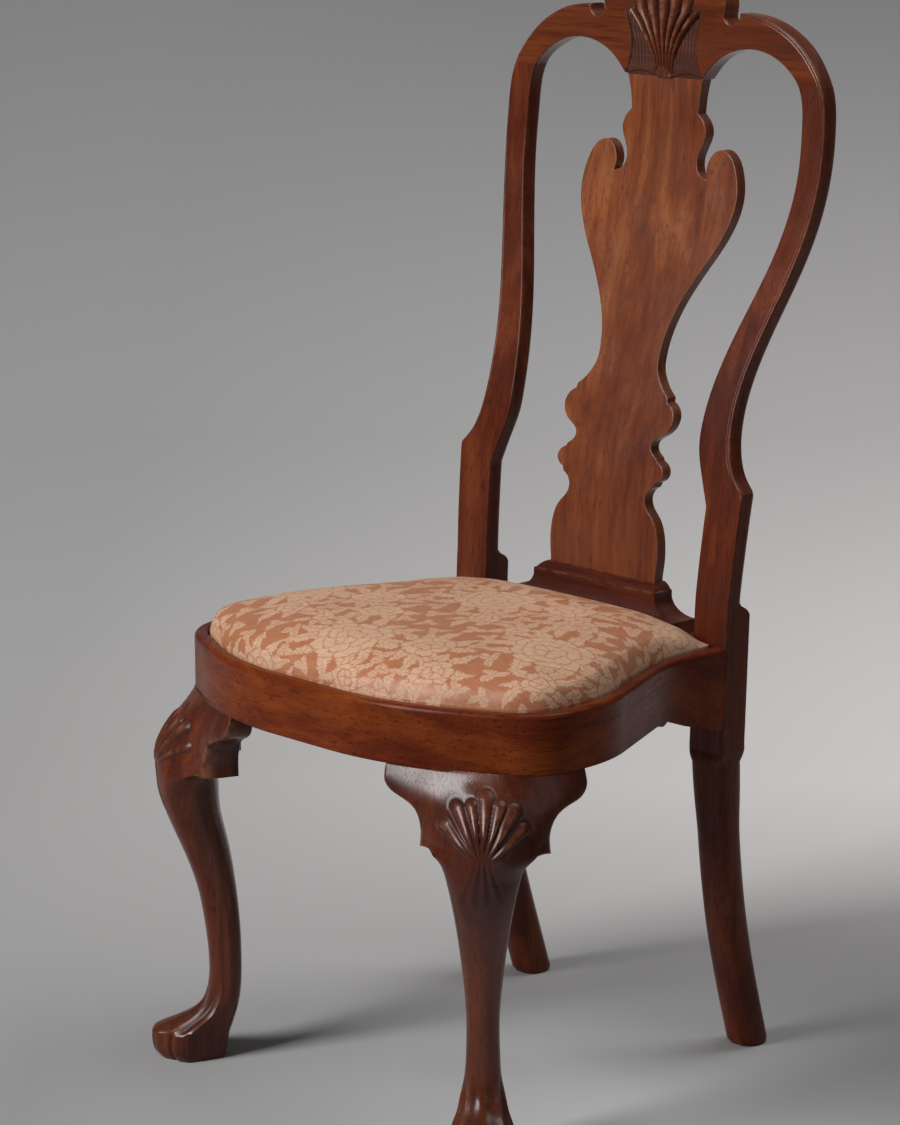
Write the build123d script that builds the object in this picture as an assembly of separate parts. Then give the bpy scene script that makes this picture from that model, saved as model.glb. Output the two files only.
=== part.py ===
"""Carved side chair with a lift-out slip seat, drawn in millimetres.

The sitter faces -Y, +Z is up, the floor is z = 0 and x = 0 is the middle of the chair.
Right-hand pieces are drawn and mirrored for the left. Every node is written to its own STEP file.
"""
import math
import os

from build123d import *

# Seat frame: outline corners in plan, right half, from the post to the middle of the front
POST_FRONT_Y = 123.0
SEAT_FRONT_Y = -250.0
SEAT_HALF_WIDTH = 242.0
SEAT_REAR_HALF = 183.0
SEAT_WAIST_Y = POST_FRONT_Y - 79.0
SEAT_CORNER_Y = SEAT_FRONT_Y + 70.0
SEAT_SWELL_Y = SEAT_CORNER_Y + 0.368 * SEAT_HALF_WIDTH
SEAT_BOW_HALF = 0.4545 * SEAT_HALF_WIDTH
WAIST_RADIUS = 150.0
SWELL_RADIUS = 150.0
CORNER_RADIUS = 70.0
BOW_RADIUS = 300.0
LEAST_RADIUS = 4.0

# Rails, rims and their joints
RAIL_BOTTOM = 364.0
RAIL_TOP = RAIL_BOTTOM + 38.0
RIM_TOP = RAIL_TOP + 18.0
RAIL_WIDTH = 56.0
RIM_WIDTH = 13.0
RAIL_JOINT_Y = SEAT_CORNER_Y + 15.0
RIM_JOINT_Y = SEAT_CORNER_Y - 5.0
RAIL_HEEL_BOTTOM = RAIL_BOTTOM - 24.0
RAIL_HEEL_CUSP_DROP = 3.5
RAIL_HEEL_END_Y = POST_FRONT_Y - 7.0
RAIL_HEEL_CUSP_Y = RAIL_HEEL_END_Y - 70.0
RAIL_HEEL_START_Y = RAIL_HEEL_CUSP_Y - 6.0
REAR_RAIL_BOTTOM = RAIL_BOTTOM - 19.0
REAR_RAIL_FRONT_Y = POST_FRONT_Y + 3.5
REAR_RAIL_BACK_Y = POST_FRONT_Y + 33.0
REAR_TENON = 8.0
REAR_TENON_MARGIN = 12.0
REAR_TENON_THICKNESS = 12.0
FRONT_TENON_INNER = SEAT_HALF_WIDTH - 44.0
FRONT_TENON_WIDTH = 16.0
FRONT_TENON_LENGTH = 16.0
FRONT_TENON_BOTTOM = RAIL_BOTTOM + 12.0
FRONT_TENON_TOP = RAIL_TOP - 12.0

# Rear posts: seat block, stile and leg
POST_OUTER_X = SEAT_REAR_HALF
POST_INNER_X = POST_OUTER_X - 42.0
BLOCK_BOTTOM = RAIL_BOTTOM - 62.0
BLOCK_CHAMFER = 12.0
BLOCK_CHAMFER_IN = 6.0
BLOCK_STEP_TOP = RIM_TOP + 40.0
BLOCK_STEP_BOTTOM = BLOCK_STEP_TOP - 14.0
BLOCK_BACK_Y = POST_FRONT_Y + 35.0
STILE_THICKNESS = 21.0
JOINT_LAP = 8.0
THROUGH_TENON_INNER = POST_INNER_X + 14.0
THROUGH_TENON_WIDTH = 14.0
THROUGH_TENON_BOTTOM = RAIL_BOTTOM + 6.0
THROUGH_TENON_TOP = RAIL_TOP - 5.0
# Rake of the stile: height, and how far its front face lies behind the front of the post
STILE_RAKE = ((302, -2), (402, 1.5), (460, 4), (540, 11.7), (620, 25), (700, 50.5), (780, 78),
              (860, 95.2), (940, 102))
# Edges of the stile seen from the front: x from the outer face of the post, and height
STILE_OUTER = ((5.7, 566), (-7, 580), (-15.6, 600), (-19.4, 626), (-11, 700), (11.4, 780), (24.3, 860),
               (24.6, 900), (18, 940))
STILE_INNER = ((-38.2, 549), (-48.7, 579), (-55.4, 601), (-56.7, 622), (-43.7, 700), (-18, 780),
               (-3.5, 860), (-3.6, 900), (-11.5, 940))
SEAM_Z = STILE_OUTER[-1][1]
# Rear leg: height, place from the outer face and the front of the post, and radius of each section
REAR_LEG_SECTIONS = ((0, -33, 82, 18.5), (48, -32, 67, 18.8), (113, -30, 48, 18.8), (177, -27.5, 33.5, 19),
                     (240, -25, 23.5, 19.5), (302, -22, 15.5, 20))

# Shoe at the foot of the splat
SHOE_TOP = RIM_TOP + 41.0
SHOE_LEDGE_Z = SHOE_TOP - 7.0
SHOE_FILLET_Z = SHOE_TOP - 14.0
SHOE_COVE_Z = RIM_TOP + 10.0
SHOE_BACK_Y = POST_FRONT_Y + 37.0
SHOE_TOP_FRONT_Y = POST_FRONT_Y + 23.0
SHOE_LEDGE_FRONT_Y = POST_FRONT_Y + 12.0
SHOE_BASE_FRONT_Y = REAR_RAIL_FRONT_Y
SHOE_TOP_HALF = 71.5
SHOE_LEDGE_HALF = SHOE_TOP_HALF + 10.0
SHOE_COVE_HALF = SHOE_LEDGE_HALF + 30.5
SHOE_BASE_HALF = SHOE_COVE_HALF + 7.0
# How far the middle of a quarter curve is drawn from its chord towards the corner
BULGE = 0.43

# Splat: height and setback of its front face, then its outline from the shoe up, right half
SPLAT_THICKNESS = 12.0
SPLAT_RAKE = ((436, 22.5), (461, 24), (534, 29), (588, 37.7), (637, 50.3), (740, 76.5), (843, 100.2),
              (873, 104.2), (904, 106.2), (956, 106.5))
SPLAT_TENON_HALF = 60.0
SPLAT_FOOT_Z = SHOE_TOP - 8.0
SPLAT_TENON_BOTTOM = SHOE_TOP - 21.0
SPLAT_BELL = ((70.5, 474), (68.3, 500), (57, 520), (49, 534))
SPLAT_STEP_LOW = ((49, 534), (52.5, 542.5), (59.5, 547))
SPLAT_SMALL_LOBE = ((59.5, 547), (69.3, 563), (60.5, 575))
SPLAT_NECK = ((60.5, 575), (50.8, 582), (51, 592.5))
SPLAT_LARGE_LOBE = ((51, 592.5), (64, 605.5), (71.2, 618), (59.5, 634.5))
SPLAT_WAIST = ((59.5, 634.5), (49, 645), (39.7, 672), (46, 707), (72, 757), (94, 794), (102.4, 828),
               (95.8, 857.6), (78, 873.2))
SPLAT_VOLUTE = ((78, 873.2), (62, 868), (59.3, 848.5), (62, 843.5))
SPLAT_NOTCH = ((62, 843.5), (50.5, 848), (46.5, 860), (52, 876), (55, 887), (51, 898), (43.8, 905))
SPLAT_TIP = ((43.8, 905), (45.5, 921), (50, 938))
SPLAT_TOP_TENON_HALF = 40.0
SPLAT_TOP_TENON = 14.0

# Crest rail seen from the front, right half
CREST_BACK_Y = POST_FRONT_Y + 127.0
CREST_FRONT_Y = CREST_BACK_Y - 24.0
CREST_FOOT_HALF, CREST_FOOT_Z = SPLAT_TIP[-1]
CREST_END_INNER = POST_OUTER_X + STILE_INNER[-1][0]
CREST_END_OUTER = POST_OUTER_X + STILE_OUTER[-1][0]
CREST_ARCH = ((CREST_FOOT_HALF + CREST_END_INNER) / 2, SEAM_Z + 30.5)
CREST_OUTER = (CREST_END_OUTER - 29.0, SEAM_Z + 37.0)
CREST_NOTCH = ((97, 1003.6), (87.5, 992), (78, 999.5))
CREST_BOSS = ((78, 999.5), (79.5, 1012), (67, 1031), (36, 1043), (0, 1047))
CREST_TENON_INNER = CREST_END_INNER + 3.5
CREST_TENON_WIDTH = 12.0
CREST_TENON_TOP = SEAM_Z + 18.0
CREST_TENON_FRONT_Y = CREST_FRONT_Y + 5.0
CREST_TENON_THICKNESS = 9.0
CREST_PEG_Z = SEAM_Z + 9.0
CREST_PEG_RADIUS = 2.5

# Front legs stand on a diagonal through the seat corner
LEG_X = SEAT_HALF_WIDTH - 63.3
LEG_Y = SEAT_FRONT_Y + 59.3
LEG_ANGLE = -45.0
# Height, forward shift along the diagonal, half depth and half width of each section
LEG_SECTIONS = ((20, 31, 37, 29), (34, 28.5, 36, 27), (45, 14, 23.5, 22.5), (66, 3.3, 16.2, 18),
                (95, 0.2, 15.8, 15.6), (135, 2.5, 17, 15.3), (177, 8.5, 19, 18.8),
                (224, 21.3, 23.8, 24.5), (262, 32.5, 29, 32.5), (292, 34.5, 30.5, 37),
                (320, 28.5, 30, 37), (345, 12, 28, 34), (364, 0, 25, 30))
FOOT_HEIGHT = 25.0
FOOT_HEEL = (-4.0, 12.0)
FOOT_SIDE = (31.0, 30.0)
FOOT_TOE = (71.0, 13.0)
FOOT_RADIUS = 8.0
SOLE_SIZE = 0.84
SOLE_RISE = 14.0
LEG_TENON_RADIUS = 18.0
WEDGE_LENGTH = 1.5 * LEG_TENON_RADIUS
WEDGE_THICKNESS = 3.0
WEDGE_DEPTH = 20.0

# Knee blocks: lobe end, step and cusp measured along the rail, heights below the rail
FRONT_BLOCK_END = LEG_X - 73.7
SIDE_BLOCK_END = LEG_Y + 66.7
FRONT_BLOCK_LOBE = 22.0
SIDE_BLOCK_LOBE = 30.0
BLOCK_LOBE_DEPTH = 30.0
FRONT_BLOCK_STEP = 34.0
SIDE_BLOCK_STEP = 45.0
BLOCK_STEP_DEPTH = 46.0
BLOCK_CUSP_DEPTH = 72.0
BLOCK_DEPTH = 40.0
BLOCK_REACH = 66.0

# Lift-out seat
SEAT_GAP = 1.5
COVER_THICKNESS = 1.0
COVER_REAR_Y = POST_FRONT_Y - 2.0
SLIP_BAR_WIDTH = 50.0
SLIP_BOTTOM = RAIL_TOP + COVER_THICKNESS
SLIP_TOP = SLIP_BOTTOM + 16.0
SLIP_JOINT_FRONT_Y = SEAT_FRONT_Y + 100.0
SLIP_JOINT_REAR_Y = POST_FRONT_Y - 57.0
HEM_INSET = RAIL_WIDTH + 6.0
HEM_TACK_INSET = RAIL_WIDTH + 3.0
HEM_TACKS = 20
TACK_HEAD_RADIUS = 2.5
TACK_HEAD = 1.0
TACK_SHANK_RADIUS = 0.9
TACK_SHANK = 9.0
TACK_SPREAD = 12.0
TACK_MARGIN = 9.0
WEBBING_TOP = SLIP_TOP + 2.0
WEBBING_WIDTH = 44.0
WEBBING_PITCH = 64.0
WEBBING_LENGTHWAYS = 4
WEBBING_CROSSWAYS = 3
WEBBING_OVERLAP = 32.0
PAD_BASE = WEBBING_TOP + TACK_HEAD + 0.5
PAD_MIDDLE_Y = (SEAT_FRONT_Y + POST_FRONT_Y) / 2 - 8.5
# Each section of the pad: rise above its base, size against the base, share of the straight side rounded off
PAD_SECTIONS = ((0, 1, 0.11), (8, 1, 0.22), (18, 0.955, 0.53), (25, 0.86, 0.75), (29, 0.62, 0.83))
PEG_RADIUS = 3.0
PEG_HEIGHTS = (THROUGH_TENON_BOTTOM + 7.0, THROUGH_TENON_TOP - 7.0)


def prism_x(face, x_from, x_to):
    """Carry a face drawn in y and z from one x to another."""
    placed = Pos(x_from, 0, 0) * (Plane.YZ * face)
    return extrude(placed, amount=x_to - x_from, dir=(1, 0, 0))


def prism_y(face, y_from, y_to):
    """Carry a face drawn in x and z from one y to another."""
    placed = Pos(0, y_from, 0) * (Plane.XZ * face)
    return extrude(placed, amount=y_to - y_from, dir=(0, 1, 0))


def prism_z(face, z_from, z_to):
    """Carry a face drawn in x and y from one height to another."""
    return extrude(Pos(0, 0, z_from) * face, amount=z_to - z_from, dir=(0, 0, 1))


def block(x_from, x_to, y_from, y_to, z_from, z_to):
    """Box between two corners."""
    middle = Pos((x_from + x_to) / 2, (y_from + y_to) / 2, (z_from + z_to) / 2)
    return middle * Box(x_to - x_from, y_to - y_from, z_to - z_from)


def other_side(shape):
    """The same piece on the left of the chair."""
    return mirror(shape, about=Plane.YZ)


def seat_corners():
    """Corners of the seat outline before rounding, from the right post round to the left one."""
    right = [(SEAT_REAR_HALF, POST_FRONT_Y), (SEAT_REAR_HALF, SEAT_WAIST_Y),
             (SEAT_HALF_WIDTH, SEAT_SWELL_Y), (SEAT_HALF_WIDTH, SEAT_CORNER_Y),
             (SEAT_BOW_HALF, SEAT_FRONT_Y)]
    return right + [(-x, y) for x, y in reversed(right)]


def seat_face(inset, back_y):
    """Plan of the seat, drawn in from the rail faces by the inset and closed at back_y."""
    corners = seat_corners()
    lines = []
    for start, end in zip(corners[:-1], corners[1:]):
        length = math.hypot(end[0] - start[0], end[1] - start[1])
        along = ((end[0] - start[0]) / length, (end[1] - start[1]) / length)
        inward = (along[1], -along[0])
        lines.append((start[0] + inset * inward[0], start[1] + inset * inward[1], along))
    points = [(lines[0][0], back_y)]
    for (ax, ay, a), (bx, by, b) in zip(lines[:-1], lines[1:]):
        cross = a[0] * b[1] - a[1] * b[0]
        step = ((bx - ax) * b[1] - (by - ay) * b[0]) / cross
        points.append((ax + step * a[0], ay + step * a[1]))
    points.append((lines[-1][0], back_y))
    half_radii = [WAIST_RADIUS + inset, SWELL_RADIUS - inset, CORNER_RADIUS - inset, BOW_RADIUS - inset]
    half_radii = [max(radius, LEAST_RADIUS) for radius in half_radii]
    edge = FilletPolyline(*points, radius=half_radii + half_radii[::-1])
    return make_face([*edge.edges(), Line(points[-1], points[0])])


def seat_slab(inset, back_y, z_from, z_to):
    """Slab of the seat plan, drawn in by the inset and cut straight at back_y."""
    whole = prism_z(seat_face(inset, POST_FRONT_Y), z_from, z_to)
    return whole & block(-SEAT_HALF_WIDTH, SEAT_HALF_WIDTH, SEAT_FRONT_Y, back_y, z_from, z_to)


def raked_slab(rake, thickness, z_from, z_to):
    """Slab whose front face follows the rake, as wide as the chair."""
    front = Spline(*[(POST_FRONT_Y + setback, z) for z, setback in rake])
    back = Spline(*[(POST_FRONT_Y + setback + thickness, z) for z, setback in rake])
    face = make_face([front, back, Line(front @ 0, back @ 0), Line(front @ 1, back @ 1)])
    whole = prism_x(face, -SEAT_HALF_WIDTH, SEAT_HALF_WIDTH)
    keep = block(-SEAT_HALF_WIDTH, SEAT_HALF_WIDTH, 0, 2 * SEAT_HALF_WIDTH, z_from, z_to)
    return whole & keep


def make_post():
    """Right rear post: seat block and stile cut from two views, with the raked round leg below."""
    outer = [(POST_OUTER_X + x, z) for x, z in STILE_OUTER]
    inner = [(POST_OUTER_X + x, z) for x, z in STILE_INNER]
    view = make_face([
        Polyline(inner[0], (POST_INNER_X, BLOCK_STEP_TOP), (POST_INNER_X, BLOCK_BOTTOM + BLOCK_CHAMFER),
                 (POST_INNER_X + BLOCK_CHAMFER_IN, BLOCK_BOTTOM),
                 (POST_OUTER_X - BLOCK_CHAMFER_IN, BLOCK_BOTTOM),
                 (POST_OUTER_X, BLOCK_BOTTOM + BLOCK_CHAMFER), (POST_OUTER_X, BLOCK_STEP_TOP), outer[0]),
        Spline(*outer),
        Line(outer[-1], inner[-1]),
        Spline(*inner),
    ])
    front_view = prism_y(view, 0, 2 * SEAT_HALF_WIDTH)
    stile = raked_slab(STILE_RAKE, STILE_THICKNESS, BLOCK_STEP_BOTTOM, SEAM_Z) & front_view
    low = [(POST_FRONT_Y + setback, z) for z, setback in STILE_RAKE[:3]]
    back_of_stile = low[-1][0] + STILE_THICKNESS
    side = make_face([
        Spline(*low),
        Polyline(low[-1], (back_of_stile, low[-1][1]), (BLOCK_BACK_Y, BLOCK_STEP_BOTTOM),
                 (BLOCK_BACK_Y, BLOCK_BOTTOM + BLOCK_CHAMFER),
                 (BLOCK_BACK_Y - BLOCK_CHAMFER, BLOCK_BOTTOM), low[0]),
    ])
    seat_block = prism_x(side, 0, SEAT_HALF_WIDTH) & front_view
    rise = BLOCK_BOTTOM / REAR_LEG_SECTIONS[-1][0]
    sections = [Pos(x, y, z * rise) * Circle(radius) for z, x, y, radius in REAR_LEG_SECTIONS]
    top_z, top_x, top_y, top_radius = REAR_LEG_SECTIONS[-1]
    sections.append(Pos(top_x, top_y, BLOCK_BOTTOM + JOINT_LAP) * Circle(top_radius - BLOCK_CHAMFER_IN))
    leg = Pos(POST_OUTER_X, POST_FRONT_Y, 0) * loft(sections)
    tenon = block(CREST_TENON_INNER, CREST_TENON_INNER + CREST_TENON_WIDTH, CREST_TENON_FRONT_Y,
                  CREST_TENON_FRONT_Y + CREST_TENON_THICKNESS, SEAM_Z - JOINT_LAP, CREST_TENON_TOP)
    return stile + seat_block + leg + tenon


def make_splat():
    """Shaped splat, bent to the rake, with a tenon at each end."""
    tenon_z = SPLAT_TIP[-1][1] + SPLAT_TOP_TENON
    right = [
        Polyline((0, SPLAT_TENON_BOTTOM), (SPLAT_TENON_HALF, SPLAT_TENON_BOTTOM),
                 (SPLAT_TENON_HALF, SPLAT_FOOT_Z), (SPLAT_BELL[0][0], SPLAT_FOOT_Z), SPLAT_BELL[0]),
        Spline(*SPLAT_BELL, tangents=((0, 1), (0, 1))),
        Spline(*SPLAT_STEP_LOW),
        Spline(*SPLAT_SMALL_LOBE),
        Spline(*SPLAT_NECK),
        Spline(*SPLAT_LARGE_LOBE),
        Spline(*SPLAT_WAIST),
        Spline(*SPLAT_VOLUTE),
        Spline(*SPLAT_NOTCH),
        Spline(*SPLAT_TIP),
        Polyline(SPLAT_TIP[-1], (SPLAT_TOP_TENON_HALF, SPLAT_TIP[-1][1]),
                 (SPLAT_TOP_TENON_HALF, tenon_z), (0, tenon_z)),
        Line((0, tenon_z), (0, SPLAT_TENON_BOTTOM)),
    ]
    half = prism_y(make_face(right), 0, 2 * SEAT_HALF_WIDTH)
    slab = raked_slab(SPLAT_RAKE, SPLAT_THICKNESS, SPLAT_TENON_BOTTOM, tenon_z)
    return (half + other_side(half)) & slab


def make_crest():
    """Double-arched crest rail with a raised boss between two notches."""
    right = [
        Line((0, CREST_FOOT_Z), (CREST_FOOT_HALF, CREST_FOOT_Z)),
        ThreePointArc((CREST_FOOT_HALF, CREST_FOOT_Z), CREST_ARCH, (CREST_END_INNER, SEAM_Z)),
        Line((CREST_END_INNER, SEAM_Z), (CREST_END_OUTER, SEAM_Z)),
        ThreePointArc((CREST_END_OUTER, SEAM_Z), CREST_OUTER, CREST_NOTCH[0]),
        ThreePointArc(*CREST_NOTCH),
        Spline(*CREST_BOSS),
        Line(CREST_BOSS[-1], (0, CREST_FOOT_Z)),
    ]
    half = prism_y(make_face(right), CREST_FRONT_Y, CREST_BACK_Y)
    return half + other_side(half)


def bulge(start, corner, end):
    """Quarter curve from start to end that bulges towards a corner."""
    chord = (Vector(*start) + Vector(*end)) / 2
    return ThreePointArc(start, chord + (Vector(*corner) - chord) * BULGE, end)


def ogee(top_at, ledge_at, cove_at, base_at):
    """Edges of the shoe moulding from its top down to its base, one horizontal place for each level."""
    top = (top_at, SHOE_TOP)
    ledge = (ledge_at, SHOE_LEDGE_Z)
    fillet_end = (ledge_at, SHOE_FILLET_Z)
    cove_end = (cove_at, SHOE_COVE_Z)
    return [bulge(top, (ledge_at, SHOE_TOP), ledge), Line(ledge, fillet_end),
            bulge(fillet_end, (ledge_at, SHOE_COVE_Z), cove_end), Line(cove_end, (base_at, RIM_TOP))]


def make_shoe():
    """Moulded shoe: the same ogee runs along its front and down both ends."""
    side = make_face(ogee(SHOE_TOP_FRONT_Y, SHOE_LEDGE_FRONT_Y, SHOE_BASE_FRONT_Y, SHOE_BASE_FRONT_Y) + [
        Polyline((SHOE_BASE_FRONT_Y, RIM_TOP), (SHOE_BACK_Y, RIM_TOP), (SHOE_BACK_Y, SHOE_TOP),
                 (SHOE_TOP_FRONT_Y, SHOE_TOP))])
    view = make_face(ogee(SHOE_TOP_HALF, SHOE_LEDGE_HALF, SHOE_COVE_HALF, SHOE_BASE_HALF) + [
        Polyline((SHOE_BASE_HALF, RIM_TOP), (0, RIM_TOP), (0, SHOE_TOP), (SHOE_TOP_HALF, SHOE_TOP))])
    half = prism_y(view, 0, SEAT_HALF_WIDTH)
    return prism_x(side, -SEAT_HALF_WIDTH, SEAT_HALF_WIDTH) & (half + other_side(half))


def make_front_leg():
    """Right front leg: curved shaft and knee on the diagonal, pointed foot, round tenon on top."""
    rise = RAIL_BOTTOM / LEG_SECTIONS[-1][0]
    sections = [Pos(shift, 0, z * rise) * Ellipse(depth, width) for z, shift, depth, width in LEG_SECTIONS]
    heel_d, heel_w = FOOT_HEEL
    side_d, side_w = FOOT_SIDE
    toe_d, toe_w = FOOT_TOE
    sole = FilletPolyline((heel_d, -heel_w), (side_d, -side_w), (toe_d, -toe_w), (toe_d, toe_w),
                          (side_d, side_w), (heel_d, heel_w), radius=FOOT_RADIUS, close=True)
    tread = make_face(sole)
    small_tread = Pos(side_d * (1 - SOLE_SIZE), 0) * scale(tread, by=SOLE_SIZE)
    foot = prism_z(tread, SOLE_RISE, FOOT_HEIGHT) + loft([small_tread, Pos(0, 0, SOLE_RISE) * tread])
    tenon = prism_z(Circle(LEG_TENON_RADIUS), RAIL_BOTTOM - JOINT_LAP, RAIL_TOP)
    return Pos(LEG_X, LEG_Y, 0) * Rot(0, 0, LEG_ANGLE) * (loft(sections) + foot + tenon)


def block_view(end, lobe, step):
    """Outline of a knee block against its rail: lobe, hollow step and cusp, then back to the leg."""
    along = math.copysign(1, step)
    lobe_z = RAIL_BOTTOM - BLOCK_LOBE_DEPTH
    lobe_low = (end + lobe, lobe_z)
    step_end = (end + step, RAIL_BOTTOM - BLOCK_STEP_DEPTH)
    cusp_z = RAIL_BOTTOM - BLOCK_CUSP_DEPTH
    inner = end + along * BLOCK_REACH
    return make_face([
        bulge((end, RAIL_BOTTOM), (end, lobe_z), lobe_low),
        bulge(lobe_low, (end + step, lobe_z), step_end),
        Polyline(step_end, (end + step, cusp_z), (inner, cusp_z), (inner, RAIL_BOTTOM), (end, RAIL_BOTTOM)),
    ])


def make_knee_blocks(leg):
    """The two blocks beside the right leg, flush with the rail faces and fitted to the leg."""
    band = seat_face(0, POST_FRONT_Y) - seat_face(BLOCK_DEPTH, POST_FRONT_Y)
    band = prism_z(band, RAIL_BOTTOM - BLOCK_CUSP_DEPTH, RAIL_BOTTOM)
    front_view = block_view(FRONT_BLOCK_END, FRONT_BLOCK_LOBE, FRONT_BLOCK_STEP)
    side_view = block_view(SIDE_BLOCK_END, -SIDE_BLOCK_LOBE, -SIDE_BLOCK_STEP)
    front = band & prism_y(front_view, SEAT_FRONT_Y, LEG_Y)
    side = band & prism_x(side_view, LEG_X, SEAT_HALF_WIDTH)
    return largest(front - leg), largest(side - leg)


def largest(shape):
    """The biggest solid of a shape that a cut has left in pieces."""
    return Part(max(shape.solids(), key=lambda solid: solid.volume).wrapped)


def make_rails(post, rear_rail):
    """Front rail and right side rail, before any mortise is cut."""
    reach = POST_FRONT_Y + STILE_THICKNESS
    band = seat_face(0, reach) - seat_face(RAIL_WIDTH, reach)
    front = prism_z(band, RAIL_BOTTOM, RAIL_TOP)
    front = front & block(-SEAT_HALF_WIDTH, SEAT_HALF_WIDTH, SEAT_FRONT_Y, RAIL_JOINT_Y, 0, RAIL_TOP)
    view = make_face(Polyline(
        (RAIL_JOINT_Y, RAIL_BOTTOM), (RAIL_HEEL_START_Y, RAIL_BOTTOM),
        (RAIL_HEEL_CUSP_Y, RAIL_BOTTOM - RAIL_HEEL_CUSP_DROP), (RAIL_HEEL_END_Y, RAIL_HEEL_BOTTOM),
        (reach, RAIL_HEEL_BOTTOM), (reach, RAIL_TOP), (RAIL_JOINT_Y, RAIL_TOP), close=True))
    side = prism_z(band, RAIL_HEEL_BOTTOM, RAIL_TOP) & prism_x(view, 0, SEAT_HALF_WIDTH)
    side = largest(side - post - rear_rail)
    tenon = block(FRONT_TENON_INNER, FRONT_TENON_INNER + FRONT_TENON_WIDTH, RAIL_JOINT_Y - FRONT_TENON_LENGTH,
                  RAIL_JOINT_Y + JOINT_LAP, FRONT_TENON_BOTTOM, FRONT_TENON_TOP)
    through = block(THROUGH_TENON_INNER, THROUGH_TENON_INNER + THROUGH_TENON_WIDTH,
                    POST_FRONT_Y - JOINT_LAP, BLOCK_BACK_Y, THROUGH_TENON_BOTTOM, THROUGH_TENON_TOP)
    return front, side + tenon + through


def make_rims(post):
    """Front rim and right side rim that hold the seat in place."""
    reach = POST_FRONT_Y + STILE_THICKNESS
    band = prism_z(seat_face(0, reach) - seat_face(RIM_WIDTH, reach), RAIL_TOP, RIM_TOP)
    front = band & block(-SEAT_HALF_WIDTH, SEAT_HALF_WIDTH, SEAT_FRONT_Y, RIM_JOINT_Y, RAIL_TOP, RIM_TOP)
    side = band & block(0, SEAT_HALF_WIDTH, RIM_JOINT_Y, reach, RAIL_TOP, RIM_TOP)
    return front, largest(side - post)


def make_rear_rail():
    """Back rail between the posts with a stub tenon into each."""
    body = block(-POST_INNER_X, POST_INNER_X, REAR_RAIL_FRONT_Y, REAR_RAIL_BACK_Y, REAR_RAIL_BOTTOM, RIM_TOP)
    middle_y = (REAR_RAIL_FRONT_Y + REAR_RAIL_BACK_Y) / 2
    reach = POST_INNER_X + REAR_TENON
    tenon = block(-reach, reach, middle_y - REAR_TENON_THICKNESS / 2, middle_y + REAR_TENON_THICKNESS / 2,
                  REAR_RAIL_BOTTOM + REAR_TENON_MARGIN, RIM_TOP - REAR_TENON_MARGIN)
    return body + tenon


def tack(x, y, z, up):
    """Tack with the underside of its head against z, pointing up (1) or down (-1)."""
    head = block_round(x, y, z - up * TACK_HEAD, z, TACK_HEAD_RADIUS)
    return head + hole_for_tack(x, y, z, up)


def hole_for_tack(x, y, z, up):
    """Hole that the shank of a tack fills."""
    return block_round(x, y, z, z + up * TACK_SHANK, TACK_SHANK_RADIUS)


def block_round(x, y, z_from, z_to, radius):
    """Upright cylinder between two heights."""
    return prism_z(Pos(x, y) * Circle(radius), min(z_from, z_to), max(z_from, z_to))


def make_pad(inset, rear_y, grow):
    """Stuffed pad: the seat outline shrinks step by step as it rises to a low crown."""
    sharp = seat_face(inset, rear_y)
    waist_turn = math.atan2(SEAT_HALF_WIDTH - SEAT_REAR_HALF, SEAT_WAIST_Y - SEAT_SWELL_Y)
    straight_side = rear_y - SEAT_WAIST_Y - WAIST_RADIUS * math.tan(waist_turn / 2)
    sections = []
    for rise, size, corner_share in PAD_SECTIONS:
        outline = fillet(sharp.vertices().group_by(Axis.Y)[-1], corner_share * straight_side)
        height = PAD_BASE + rise + (grow if rise else 0)
        sections.append(Pos(0, PAD_MIDDLE_Y * (1 - size), height) * scale(outline, by=size))
    return loft(sections)


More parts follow.
